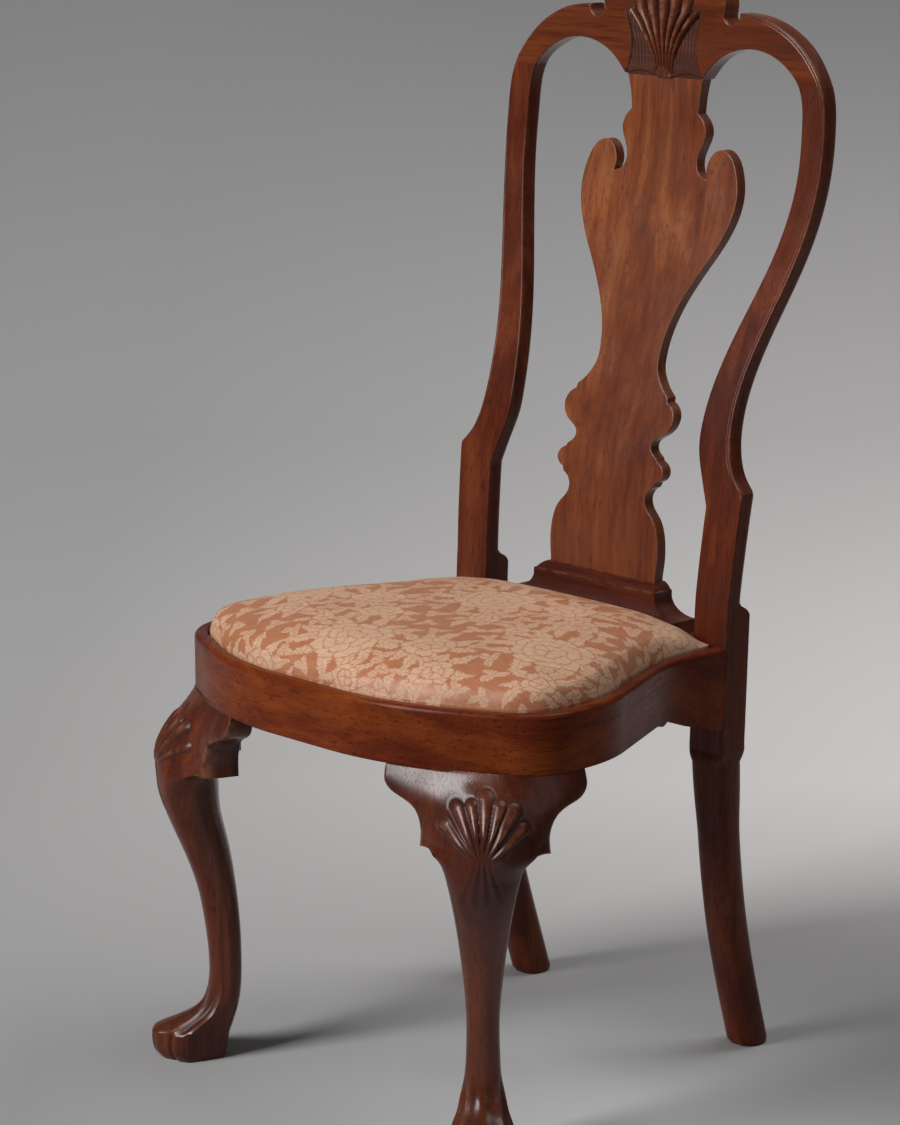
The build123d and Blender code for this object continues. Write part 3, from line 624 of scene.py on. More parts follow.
def patina_and_light_group():
    """Age and painted light: dark wax and painted shade in the hollows, wear and painted highlights on the
    edges, broken up by scuffs.
    """
    group, given, end = new_group(
        "patina_and_painted_light", {"Color": "Color", "Place": "Vector", "Hollow": "Float", "Worn": "Float",
                       "Wax": "Color", "Rubbed": "Color"}, {"Color": "Color"})
    scuff = noise(given["Place"], 70.0, 4.0, 0.65)
    blotches = noise(given["Place"], 35.0, 3.0)
    # Dark wax and painted shade in the hollows, broken up by blotches.
    hollow = times(given["Hollow"], spread(blotches, 0.3, 0.6, 0.6, 0.95))
    colour = mix_colour(hollow, given["Color"], given["Wax"])
    # Lighter wood on edges and ridges: wear, and painted highlights.
    wear_and_highlight = times(given["Worn"], spread(scuff, 0.42, 0.66, 0.0, 0.55))
    set_inputs(end, Color=mix_colour(wear_and_highlight, colour, given["Rubbed"]))
    return group


WOOD_GRAIN = grain_group()
PATINA_AND_LIGHT = patina_and_light_group()
# Tones the per-vertex fields mix in: dark wax with painted shade, pale wear with painted highlights.
WAX_AND_SHADE_DARK = srgb(24, 11, 8)
WEAR_AND_HIGHLIGHT_TONE = srgb(176, 122, 90)
ROUND_MIDDLE = 0.06
ROUND_RADIUS = 0.23
DRAWN_SHARE = 0.06
DRAWN_OUT = {"x": (DRAWN_SHARE, 1, 1), "y": (1, DRAWN_SHARE, 1), "z": (1, 1, DRAWN_SHARE)}
PORE_SHADE = 0.4
HOLLOW_MATT = 0.3
COAT_SHARE = 0.45
COAT_ROUGH = 0.18
PINE = ((150, 112, 70), (176, 138, 92), (196, 160, 112))
PINE_GLOSS = 0.62


def walnut(name, along, dark, mid, light, shift=(0, 0, 0), gloss=0.32, shine=0.2):
    """Waxed old wood with its grain along one axis, or round the seat; the tones are display colours."""
    material, tree, shader = new_material(name)
    drawn = placed_round(tree, shift[0]) if along == "round" else placed(tree, DRAWN_OUT[along], shift=shift)
    place = placed(tree, shift=shift)
    dark = srgb(*dark)
    pore = tuple(v * PORE_SHADE for v in dark)
    grain = use_group(tree, WOOD_GRAIN, Drawn=drawn, Place=place, Dark=dark, Mid=srgb(*mid),
                      Light=srgb(*light), Pore=pore, Gloss=gloss)
    # Fields of each piece: dark wax with painted shade in the hollows, wear with painted highlights on edges
    # and ridges.
    hollow = attribute(tree, "hollow")
    aged = use_group(tree, PATINA_AND_LIGHT, Color=grain["Color"], Place=place, Hollow=hollow,
                     Worn=attribute(tree, "wear_and_highlight"), Wax=WAX_AND_SHADE_DARK, Rubbed=WEAR_AND_HIGHLIGHT_TONE)
    rough = plus(grain["Roughness"], times(hollow, HOLLOW_MATT))
    set_inputs(shader, Base_Color=aged["Color"], Roughness=rough, Specular_IOR_Level=shine,
               Coat_Weight=COAT_SHARE * shine, Coat_Roughness=COAT_ROUGH,
               Normal=bump_node(grain["Height"], 0.12, 0.0006))
    return material


wood_post = walnut("walnut_post", "z", (60, 21, 11), (94, 39, 19), (120, 58, 29), shine=0.16)
wood_splat = walnut("walnut_splat", "z", (86, 35, 16), (124, 63, 31), (158, 96, 55), (0.31, 0.1, 0),
                    shine=0.32)
wood_crest = walnut("walnut_crest", "x", (68, 25, 11), (104, 46, 19), (132, 70, 30), (0, 0.2, 0.7),
                    gloss=0.26, shine=0.28)
wood_rail = walnut("walnut_rail", "round", (66, 21, 9), (102, 39, 13), (130, 61, 18), gloss=0.27, shine=0.1)
wood_side = walnut("walnut_side", "round", (66, 21, 10), (99, 37, 14), (125, 58, 20), gloss=0.27, shine=0.1)
wood_leg = walnut("walnut_leg", "z", (54, 20, 11), (88, 37, 19), (112, 55, 30), (0.7, 0.4, 0),
                  gloss=0.24, shine=0.28)
wood_shoe = walnut("walnut_shoe", "x", (52, 18, 12), (82, 32, 18), (106, 50, 27))
wood_pine = walnut("pine_frame", "x", *PINE, gloss=PINE_GLOSS)
wood_pine_long = walnut("pine_frame_long", "y", *PINE, gloss=PINE_GLOSS)


# Rear posts

STILE_RAKE = ((302, -2), (402, 1.5), (460, 4), (540, 11.7), (620, 25), (700, 50.5), (780, 78), (860, 95.2),
              (940, 102))
STILE_OUTER = ((188.7, 566), (176, 580), (167.4, 600), (163.6, 626), (172, 700), (194.4, 780), (207.3, 860),
               (207.6, 900), (201, 940))
STILE_INNER = ((144.8, 549), (134.3, 579), (127.6, 601), (126.3, 622), (139.3, 700), (165, 780), (179.5, 860),
               (179.4, 900), (171.5, 940))
CREST_ROUND = arc((201, SEAM_Z), (172, 977), (97, 1003.6), 61)
CREST_UNDER = arc((171.5, SEAM_Z), (110.75, 970.5), (50, 938), 61)
BEAD_AT = 3.4
BEAD_RINGS = (2.2, 2.6, 3.0, 3.4, 3.8, 4.3)
BEAD_START = (572, 600)
BEAD_CUT = 0.55
BEAD_CUT_WIDTH = 0.5
BEAD_FALL = 0.35
BEAD_GLINT = 0.6
BEAD_TOP = (BEAD_AT - 1.0, 0.45)
EDGE_ROUND = 1.6
BACK_ROUND = 7.0
BLOCK_LOW = 315.0
BLOCK_TOP = 462
BLOCK_SIDES = (141, 183.2)
BLOCK_MIDDLE = (162.1, 138.4)
BLOCK_HALF = (21.25, 17.0)
BLOCK_LAP = 6.0
BLOCK_BACK_Y = 159.5
BLOCK_END_Z = 455
BLOCK_ROUND = 2.0
BLOCK_EXTRA = 12.5
BLOCK_EASE = (446, 461)
# Rear leg: height, middle in x and y, half width
REAR_LEG = np.array(((0, 150, 205, 18.5), (48, 151, 190, 18.6), (113, 153, 171, 18.6),
                     (177, 155.5, 156.5, 18.7), (240, 158, 146.5, 18.9), (302, 161, 138.8, 19.2)), float)
REAR_LEG_COLUMNS = 96
FLARE_LOW = 302
FLARE_POWER = 1.7
# Power of the section: at the foot, what the upper leg adds, what the flare adds
REAR_POWERS = (2.5, 1.6, 16)
UPPER_LEG = (225, 300)
FOOT_EASE = 0.10


def rake_at(rake, z):
    """Setback of a bent face at each height."""
    heights, backs = zip(*rake)
    return POST_FRONT_Y + cubic(heights, backs, np.clip(z, heights[0], heights[-1]))


def back_run(stile, crest, count):
    """One smooth edge through the stile's points and on through the crest's, parted at the seam."""
    seam = stile[-1]
    line = natural_spline(list(stile) + list(crest), count)
    before = np.argmax(np.linalg.norm(line - line[0], axis=1) > math.dist(stile[0], seam))
    return np.vstack([line[:before], [seam]]), np.vstack([[seam], line[before:]])


STILE_OUTER_LINE, CREST_OUTER = back_run(STILE_OUTER, CREST_ROUND[12::12], 220)
STILE_INNER_LINE, CREST_ARCH = back_run(STILE_INNER, CREST_UNDER[10::10], 260)


def scratch_bead(side):
    """Fine line cut beside the outer edge, with the narrow bead it leaves rounded off."""
    fall = BEAD_FALL * round_drop(np.minimum(side, BEAD_AT), BEAD_AT) / BEAD_AT
    return BEAD_CUT * bump(side, BEAD_AT, BEAD_CUT_WIDTH) + fall


def bead_glint(verts, edge_line, face_y):
    """Painted highlight along the top of the bead, in the pale wear tone, on the front face alone."""
    side = line_distance(np.stack([np.abs(verts[:, 0]), verts[:, 2]], 1), edge_line)
    return BEAD_GLINT * bump(side, *BEAD_TOP) * (verts[:, 1] < face_y + 5)


def rear_leg_mesh():
    """Raked leg below the seat block: |x/a|^p + |y/b|^p = 1 about a bent centre line.

    The power p falls from a square under the block to a soft round, and the section flares out in a
    hollow curve to the block's own rectangle.
    """
    z = np.concatenate([np.linspace(0, 8, 7), np.linspace(14, 296, 48), np.linspace(300, BLOCK_LOW, 22),
                        [BLOCK_LOW + BLOCK_LAP]])
    middle = cubic(REAR_LEG[:, 0], REAR_LEG[:, 1:], np.clip(z, 0, FLARE_LOW))
    turn = np.linspace(0, 2 * np.pi, REAR_LEG_COLUMNS, endpoint=False)
    flare = np.clip((z - FLARE_LOW) / (BLOCK_LOW - FLARE_LOW), 0, 1)[:, None] ** FLARE_POWER
    foot = 1 - FOOT_EASE * (1 - steps(z, 0, 5))[:, None]
    soft, upper, square = REAR_POWERS
    power = soft + upper * steps(z, *UPPER_LEG)[:, None] + square * flare
    c, s, scale = squared_round(turn, power)
    half = [middle[:, 2:] * foot * (1 - flare) + size * flare for size in BLOCK_HALF]
    centre = [middle[:, k:k + 1] * (1 - flare) + BLOCK_MIDDLE[k] * flare for k in (0, 1)]
    return ring_stack(np.stack([centre[0] + half[0] * c * scale, centre[1] + half[1] * s * scale,
                                np.repeat(z[:, None], len(turn), 1)], 2))


def post_mesh():
    """Right post: seat block and stile as one plate, the raked leg below, joined in one mesh."""
    outer, inner = STILE_OUTER_LINE, STILE_INNER_LINE
    left, right = BLOCK_SIDES
    low = [(left, BLOCK_TOP), (left, BLOCK_LOW), (right, BLOCK_LOW), (right, BLOCK_TOP)]
    outline = np.vstack([even(np.vstack([inner[::-1], low, outer]), 3.2), seam_points(outer[-1], inner[-1])])
    free = [np.vstack([inner[::-1], low[:2]]), np.vstack([low[2:], outer])]

    def depth_of(flat):
        return np.minimum(line_distance(flat, free[0]), line_distance(flat, free[1]))

    def front(x, z, depth):
        bead = scratch_bead(line_distance(np.stack([x, z], 1), outer))
        return rake_at(STILE_RAKE, z) + round_drop(depth, EDGE_ROUND) + bead * steps(z, *BEAD_START)

    def back(x, z, depth):
        face = rake_at(STILE_RAKE, z) + (STILE_THICKNESS + BLOCK_EXTRA * (1 - steps(z, *BLOCK_EASE)))
        face = np.where(z < BLOCK_END_Z, np.minimum(face, BLOCK_BACK_Y), face)
        return face - round_drop(depth, np.where(z > BLOCK_END_Z, BACK_ROUND, BLOCK_ROUND))

    verts, faces, depth = slab(outline, 5.0, (EDGE_ROUND, BACK_ROUND), front, back, BEAD_RINGS, depth_of)
    leg_verts, leg_faces = rear_leg_mesh()
    faces = faces + [[len(verts) + k for k in f] for f in leg_faces]
    # Painted highlight on the bead, and lighter wear on the arris.
    glint = bead_glint(verts, outer, rake_at(STILE_RAKE, verts[:, 2]))
    wear_and_highlight = 0.2 * bump(depth, 0, 1.4) + glint * steps(verts[:, 2], *BEAD_START)
    wear_and_highlight = np.concatenate([wear_and_highlight, np.zeros(len(leg_verts))])
    return (np.vstack([verts, leg_verts]), faces), {"wear_and_highlight": wear_and_highlight}


both_sides("post_{}", "{}_rear_post", wood_post, *post_mesh())


# Splat

SPLAT_RAKE = ((436, 22.5), (461, 24), (534, 29), (588, 37.7), (637, 50.3), (740, 76.5), (843, 100.2),
              (873, 104.2), (904, 106.2), (956, 106.5))
SPLAT_FOOT = (70.2, 455)
SPLAT_ROUND = 0.9
SPLAT_THICK = 12
# Right half from the shoe up to the crest: points of each curve and its count
SPLAT_CURVES = (
    (((70.6, 466), (72.4, 482), (71.8, 497), (69, 509.8), (63.5, 520.5), (54.8, 529.9), (51.4, 537),
      (52, 543.5), (55.6, 548.6), (60.4, 551.6)), 60),
    (((62.4, 556.2), (68.2, 559.8), (70.7, 564.5), (70.2, 568.9), (67, 573.4), (61.2, 576.6)), 26),
    (((59.6, 579.4), (55.6, 582.2), (51.3, 586.8), (50.9, 592.4), (55.4, 597.4), (63, 601.8), (68.8, 607.3),
      (72, 613.7), (72.4, 619.6), (70.4, 625.2), (66, 630), (60.9, 632.8)), 70),
    (((60.4, 637.4), (54.4, 642), (46.2, 651.5), (41, 661.3), (39.7, 673), (46, 707), (72, 757), (94, 794),
      (102.4, 828), (97.4, 853), (89, 867), (78, 872.8), (67.4, 870), (61, 861), (59.4, 851.5),
      (61.8, 843.8)), 150),
    (((61.8, 843.8), (50.5, 848), (46.5, 860), (52, 876), (55, 887), (51, 898), (43.8, 905)), 40),
    (((43.8, 905), (45.5, 921), (50, 939.5)), 12))


def splat_mesh():
    """Vase-shaped board: its outline cut from a plate that follows the rake, edges barely rounded."""
    half = np.vstack([[SPLAT_FOOT]] + [natural_spline(points, count) for points, count in SPLAT_CURVES])
    outline = even(np.vstack([half, half[::-1] * (-1, 1)]), 1.5, closed=True)

    def front(x, z, depth):
        return rake_at(SPLAT_RAKE, z) + round_drop(depth, SPLAT_ROUND)

    def back(x, z, depth):
        return rake_at(SPLAT_RAKE, z) + SPLAT_THICK - round_drop(depth, SPLAT_ROUND)

    verts, faces, depth = slab(outline, 5.0, (SPLAT_ROUND,), front, back)
    return (verts, faces), {"wear_and_highlight": 0.35 * bump(depth, 0, 1.2)}


frame_piece("splat_board", "splat", wood_splat, *splat_mesh())


# Crest rail

CREST_TOP = np.vstack([arc((97, 1003.6), (87.5, 992), (78, 999.5), 20),
                       natural_spline(((78, 999.5), (79.5, 1012), (67, 1031), (36, 1043), (0, 1047)), 50)])
CREST_OVER = np.vstack([CREST_OUTER, CREST_TOP])
CREST_FOOT_Z = 938
CREST_DETAIL = ((-66, 930), (66, 1048), 1.1)
CREST_FLUSH_X = (140, 165)
SHELL_Z = (930, 945, 960, 975, 990, 1001, 1012, 1030, 1050)
SHELL_HALF = (9.5, 11.0, 15.0, 23.5, 36.5, 49.5, 54.0, 62.0, 70.0)
SHELL_TOP_Z = 1001
SHELL_RIBS = 7
RIB_LENGTHS = (88.0, 103.0, 111.0, 114.0, 111.0, 103.0, 88.0)
RIB_FOOT_Z = 925.0
PANEL_Z = (930, 940, 950, 965, 980, 1000, 1012)
PANEL_HALF = (56.0, 50.0, 45.5, 42.0, 43.5, 49.5, 51.0)
PANEL_TOP = (1000, 1004)
PANEL_DEPTH = 1.9
SPLAT_SET_BACK = 3.4


def crest_depth(flat):
    """Distance to the crest's free edges, leaving out the seams at the stiles and the foot on the splat."""
    half = np.stack([np.abs(flat[:, 0]), flat[:, 1]], 1)
    return np.minimum(line_distance(half, CREST_ARCH), line_distance(half, CREST_OVER))


def shell_relief(x, z):
    """Height of the carved shell on the crest, its dark hollows of wax and painted shade, and its ridges,
    pale with wear and a painted highlight.

    Rounded ribs u = x / w(z) fan from the foot between two sunk hatched panels, whose lower edges are
    two shallow arcs above the splat. The ribs stand higher as they widen.
    """
    side = np.abs(x)
    width = np.interp(z, SHELL_Z, SHELL_HALF)
    panel = cubic(PANEL_Z, PANEL_HALF, np.clip(z, PANEL_Z[0], PANEL_Z[-1]))
    place = (np.clip(x / width, -1, 1) + 1) / 2 * SHELL_RIBS
    across = 2 * (place - np.floor(place)) - 1
    hump = np.maximum(1 - across ** 2, 0)
    lobe = hump ** 0.85
    length = np.take(RIB_LENGTHS, np.clip(place.astype(int), 0, SHELL_RIBS - 1))
    past = np.hypot(x, z - RIB_FOOT_Z) - length + width / SHELL_RIBS * (1 - np.sqrt(hump))
    rib = 1 - steps(past, -1.4, 0.6)
    in_shell = (1 - steps(side - width, -0.4, 0.8)) * rib
    around = 1 - in_shell
    sunk = (1 - steps(side - panel, -0.9, 0.5)) * (1 - steps(z, *PANEL_TOP)) * around
    foot = CREST_FOOT_Z + 4.5 * np.sin(np.clip((side - 10) / 42, 0, 1) * np.pi)
    below = (1 - steps(z - foot, -0.6, 0.6)) * around
    hatch = 0.22 * np.sin(x * (1.6 - 0.006 * (z - 940)) + 0.9 * np.sin(z * 0.21 + x * 0.1))
    tall = 2.4 + 3.4 * steps(z, 940, 985)
    rise = in_shell * (tall * lobe - 2.1) + sunk * (hatch - PANEL_DEPTH)
    rise = rise * (1 - below) - SPLAT_SET_BACK * below
    # Dark wax with painted shade in the hollows, along the panel edges and the foot line.
    dark = np.maximum.reduce([
        in_shell * (1 - lobe) ** 1.2 + sunk * (0.62 - 1.2 * hatch),
        0.9 * bump(z, foot, 0.8) * (side < panel) * around,
        0.75 * bump(side, panel, 0.9) * (z < SHELL_TOP_Z),
        0.8 * bump(past, 0.4, 1.0) * (side < width),
        0.8 * bump(side, width + 0.8, 0.9) * rib * (z < SHELL_TOP_Z)])
    # The last value is wear with a painted highlight on the rib crests.
    return rise, dark, in_shell * lobe ** 7 * steps(z, 950, 985)


def near_seam(x, z, reach):
    """One at the seams with the stiles, falling to nothing towards the middle and over the reach above."""
    return steps(np.abs(x), *CREST_FLUSH_X) * (1 - steps(z, SEAM_Z, SEAM_Z + reach))


def crest_front(x, z, depth):
    """Front of the crest: flush with the stiles at the seams, a fine bead outside, the shell carved in."""
    side = line_distance(np.stack([np.abs(x), z], 1), CREST_OUTER)
    relief, _, _ = shell_relief(x, z)
    flush = CREST_FRONT_Y - 1.0 * near_seam(x, z, 30)
    return flush + round_drop(depth, EDGE_ROUND) + scratch_bead(side) - relief


def crest_back(x, z, depth):
    """Back of the crest, rounded over at its edges and flush with the stiles at the seams."""
    return CREST_BACK_Y - 4.0 * near_seam(x, z, 40) - round_drop(depth, BACK_ROUND)


def crest_mesh():
    """Crest as a plate between its front and back, with a finer mesh under the shell."""
    half = np.vstack([even(np.vstack([[(0, CREST_FOOT_Z)], CREST_ARCH[::-1]]), 2.0),
                      seam_points(CREST_ARCH[0], CREST_OUTER[0]), even(CREST_OVER, 2.0)])
    outline = np.vstack([half, (half[::-1] * (-1, 1))[1:-1]])
    verts, faces, depth = slab(outline, 3.5, (EDGE_ROUND, BACK_ROUND), crest_front, crest_back, BEAD_RINGS,
                               crest_depth, CREST_DETAIL)
    _, valley, ridge = shell_relief(verts[:, 0], verts[:, 2])
    on_front = verts[:, 1] < CREST_FRONT_Y + 6
    # Wear on the arris, painted highlights on the bead and rib crests, dark wax with painted shade in the
    # shell's hollows.
    wear_and_highlight = 0.15 * bump(depth, 0, 1.4) + bead_glint(verts, CREST_OUTER, CREST_FRONT_Y) + ridge * on_front
    return (verts, faces), {"wear_and_highlight": wear_and_highlight, "hollow": np.clip(valley, 0, 1) * on_front}


frame_piece("crest_board", "crest_rail", wood_crest, *crest_mesh())


# Shoe: a stack of oblong rings that follows the moulding

# Half width and front of each step
SHOE_TOP = np.array((71.5, 146.0))
SHOE_LEDGE = np.array((81.5, 135.0))
SHOE_BASE = np.array((112.0, 126.5))
SHOE_BACK_Y = 160.0
COVE_LOW = 430.6
COVE_RISE = 18.6
BEVEL_LOW = 454.2
BEVEL_RISE = 6.8
BEVEL_SWELL = 1.2
BEVEL_SHARES = np.array([0.16, 0.2, 0.3, 0.45, 0.6, 0.75, 0.88, 0.96, 1.0])
SHOE_EDGES = ((453.8, 0.6), (461, 0.5))


def shoe_mesh():
    """Moulded shoe; at each height an oblong whose ends and front step out by the same moulding.

    From the top: a round bevel, a crisp upright fillet, a hollow quarter curve and a low upright base.
    """
    turn = np.linspace(0, np.pi / 2, 14)
    half, front = SHOE_BASE
    base = [(420.0, 119.0, front), (429.4, half + 0.6, front), (430.1, half + 0.3, front)]
    cove = np.column_stack([COVE_LOW + COVE_RISE * (1 - np.cos(turn)),
                            SHOE_BASE + np.outer(np.sin(turn), SHOE_LEDGE - SHOE_BASE)])
    half, front = SHOE_LEDGE
    fillet = [(449.8, half, front), (453.2, half, front), (453.6, half, front),
              (454.0, half - 0.4, front + 0.4)]
    rise = (BEVEL_SHARES - BEVEL_SHARES[0]) / (1 - BEVEL_SHARES[0])
    bevel = np.column_stack([BEVEL_LOW + BEVEL_RISE * rise + BEVEL_SWELL * np.sin(np.pi * rise),
                             SHOE_LEDGE + np.outer(BEVEL_SHARES, SHOE_TOP - SHOE_LEDGE)])
    t = np.linspace(0, 1, 40, endpoint=False)
    t[1], t[-1] = 0.008, 0.992
    z, half, front = np.split(np.vstack([base, cove, fillet, bevel]), 3, axis=1)
    across = -half + 2 * half * t
    inward = front + (SHOE_BACK_Y - front) * t
    still = np.ones_like(t)
    x = np.concatenate([across, half * still, -across, -half * still], 1)
    y = np.concatenate([front * still, inward, SHOE_BACK_Y + 0 * across, SHOE_BACK_Y + front - inward], 1)
    verts, faces = ring_stack(np.stack([x, y, z + 0 * x], 2))
    # Lighter lines along the two upper edges of the moulding: wear with a painted highlight.
    edge_wear_and_highlight = sum(bump(verts[:, 2], *edge) for edge in SHOE_EDGES)
    return (verts, faces), {"wear_and_highlight": 0.5 * edge_wear_and_highlight}


frame_piece("shoe_moulding", "shoe", wood_shoe, *shoe_mesh())


# Seat rails and rims

HEEL_Y = (-300, 27, 31, 35, 39, 43, 46, 50, 56, 70, 116, 200)
HEEL_Z = (364, 364, 361.8, 361, 362.5, 364.6, 364, 361.5, 359.2, 354, 340, 340)
BEYOND_FRONT = -400
SIDE_RAIL_END = 124.0
SIDE_RIM_END = 125.0
RAIL_SECTION = rounded_box(RAIL_WIDTH, RAIL_BOTTOM, RAIL_TOP, (1.6, 0.2, 0.2, 1.5), 7)
RIM_SECTION = rounded_box(RIM_WIDTH, RAIL_TOP, RIM_TOP, (0.2, 5.0, 3.0, 0.2), 9)
FRONT_PATH = whole_path(2.5)
SIDE_PATH = seat_path(0.0, 2.0)


def heel_bottom(y):
    """Lower edge of a side rail: level, then a small cusp and a slope down to the post."""
    return np.interp(y, HEEL_Y, HEEL_Z)


front_path = clip_path(FRONT_PATH, BEYOND_FRONT, RAIL_JOINT_Y)
frame_piece("rail_front", "front_rail", wood_rail, sweep(front_path, RAIL_SECTION))
front_path = clip_path(FRONT_PATH, BEYOND_FRONT, RIM_JOINT_Y)
frame_piece("rim_front", "front_rim", wood_rail, sweep(front_path, RIM_SECTION))
side_path = clip_path(SIDE_PATH, RAIL_JOINT_Y, SIDE_RAIL_END)
both_sides("rail_{}", "{}_side_rail", wood_side, sweep(side_path, RAIL_SECTION, heel_bottom))
side_path = clip_path(SIDE_PATH, RIM_JOINT_Y, SIDE_RIM_END)
both_sides("rim_{}", "{}_rim", wood_side, sweep(side_path, RIM_SECTION))


# Front legs

# Height, shift along the diagonal, half depth and half width
LEG_TABLE = np.array((
    (0, 31, 31, 24.5), (6, 32.9, 34.6, 27.5), (14, 33.7, 36.7, 29.5), (24, 33, 38.1, 29.5),
    (28, 32.0, 38.2, 29.2), (31, 29.8, 37.2, 28.4), (34.5, 25.8, 34.0, 27), (39.4, 19.5, 28.6, 25),
    (45, 13.2, 23.7, 22.5), (53, 7.2, 19.4, 20.5), (66, 2.6, 16.8, 18), (95, 0.2, 15.8, 15.6),
    (135, 2.5, 17, 15.3), (177, 8.5, 19, 18.8), (224, 21.3, 23.8, 24.5), (252, 30, 26.6, 29.0),
    (271, 33.2, 28.8, 33.0), (280, 34, 29.4, 35.4), (287, 34.3, 29.9, 38.6), (292, 34.3, 30.2, 43),
    (297, 34, 30.4, 48), (305, 33, 30.6, 50.3), (317, 29.5, 30.5, 50.6), (333, 20.5, 30.5, 50.6),
    (352, 6.5, 28.5, 49.5), (366, -2, 25.5, 46)), float)
LEG_ROWS = ((0, 80, 110), (80.8, 240, 80), (240.7, 366, 170))
LEG_COLUMNS = 264
LEG_POWER = 2.1
FRONT_CLOSER = 0.45
FOOT_PLAN = ((71, 0), (70, 8), (64, 16), (53, 21.5), (46, 27), (38, 30.2), (33, 30.2), (14, 21.5), (-3, 12),
             (-5, 0))
FOOT_MIDDLE = 31.0
FOOT_OVAL = (38.0, 29.5)
# Toes: angle from the front and width of each form
TOE_NOTCH = (0.86, 0.06)
TOE_RIDGES = ((0.80, 0.11), (1.5, 0.13))
TOE_HOLLOWS = ((0.40, 0.2), (1.15, 0.18))
TOE_HIGH = 0.075
TOE_DEEP = 0.07
NICK_HIGH = (112, 0.7)
NICK_TURN = (-0.15, 0.28)
SHELL_FOOT = (-1.0, 291.0)
# Knee shell: angle, length and half spread of each lobe, from the left
KNEE_LOBES = ((-47, 51, 7.4), (-25, 59, 7), (-10.5, 57, 6.2), (3.5, 64, 7.2), (17.5, 59, 6.2), (31, 62, 7),
              (49.5, 54, 7.6))
ROD_HIGH = 3.0
FAN_DEEP = 0.5
PENDANT_RIBS = 4.5
NOSE_Z = (286, 296, 304, 316.5, 332.5, 351.6, 358, 366)
NOSE_D = (64.2, 64.6, 63.9, 60.1, 51.5, 34.7, 28.6, 22.4)
NOSE_WIDTH = (46.0, 32.0)
WING_SWELL = (5.5, 8.0)
WING_DROP = (26.0, 36.0)
WING_FADE = (45, 92)
DIAGONAL = math.sqrt(0.5)
FREE = 40


def rail_depth():
    """The rail's face near the right leg as places (e, d) across and along the leg's diagonal."""
    line, _ = seat_path(0.0, ARC_STEP)
    right, ahead = line[:, 0] - LEG_X, line[:, 1] - LEG_Y
    across = DIAGONAL * (right + ahead)
    along = DIAGONAL * (right - ahead)
    near = np.abs(across) < 140
    order = np.argsort(across[near])
    return across[near][order], along[near][order]


RAIL_ACROSS, RAIL_ALONG = rail_depth()


def wing_swell(e, z):
    """How far the wings roll out below the rail: P sin(0.72 pi t), t the drop over H.

    P and H both grow towards the knee.
    """
    near = 1 - steps(np.abs(e), *WING_FADE)
    drop = np.clip((RAIL_BOTTOM - z) / (WING_DROP[0] + WING_DROP[1] * near), 0, 1)
    return (WING_SWELL[0] + WING_SWELL[1] * near) * np.sin(0.72 * np.pi * drop)


def knee_rise(e, z):
    """Extra swell of the knee over the wings: its middle profile, falling as exp(-|e/w|^2.6)."""
    middle = np.interp(0.0, RAIL_ACROSS, RAIL_ALONG) + wing_swell(0 * e, z)
    nose = cubic(NOSE_Z, NOSE_D, np.clip(z, NOSE_Z[0], NOSE_Z[-1]).ravel()).reshape(np.shape(z))
    width = NOSE_WIDTH[0] + (NOSE_WIDTH[1] - NOSE_WIDTH[0]) * steps(z, 292, 332)
    return np.maximum(nose - middle, 0) * np.exp(-np.abs(e / width) ** 2.6)


def foot_radius(angle):
    """Distance from the foot's middle to its plan outline at an angle, from the toe round to the heel."""
    d, e = even(FOOT_PLAN, 0.6).T
    d = d - FOOT_MIDDLE
    return np.interp(np.abs(angle), np.arctan2(e, d), np.hypot(d, e))


def knee_shell(e, z):
    """Relief of the knee shell on lateral place e and height z, with its dark hollows of wax and painted
    shade, and its rods.

    Lobe i is a rounded rod of half width w = t tan(spread) at distance t along its ray, closed by a
    half circle at its tip. Below the lobes hangs a pendant of fine ribs.
    """
    out = e - SHELL_FOOT[0]
    up = z - SHELL_FOOT[1]
    reach = np.hypot(out, up)
    fan = np.arctan2(out, up)
    rods = np.zeros_like(e)
    fans = np.zeros_like(e)
    for degrees, length, spread_degrees in KNEE_LOBES:
        angle = math.radians(degrees)
        slope = math.tan(math.radians(spread_degrees))
        along = reach * np.cos(fan - angle)
        across = reach * np.sin(fan - angle)
        width = np.maximum(along, 1) * slope
        tip = length * slope
        past = np.clip((along - (length - tip)) / tip, 0, 9)
        share = np.where(past > 0, np.hypot(across, past * tip) / tip, np.abs(across) / width)
        rod = np.clip(1 - share ** 2, 0, 1) ** 0.9 * (along > 2)
        gap = (share - 1) * np.minimum(width, tip)
        rods = np.maximum(rods, rod * steps(along, 3, 34))
        fans = np.maximum(fans, (1 - steps(gap, -0.6, 2.6)) * steps(along, 4, 26))
    drop = SHELL_FOOT[1] + 14 - z
    half = 9 + 19 * steps(drop, 4, 54)
    pendant = (1 - steps(np.abs(e) - half, -9.0, 1.0)) * steps(z, 247, 262) * (1 - steps(z, 290, 304))
    lines = np.cos(e / half * math.pi * PENDANT_RIBS)
    relief = ROD_HIGH * rods - FAN_DEEP * fans + pendant * (0.1 + 0.5 * lines)
    dark = np.clip(fans * (1 - rods) ** 2 * 0.7 + pendant * (0.28 - 0.28 * lines), 0, 1)
    return relief, dark, rods


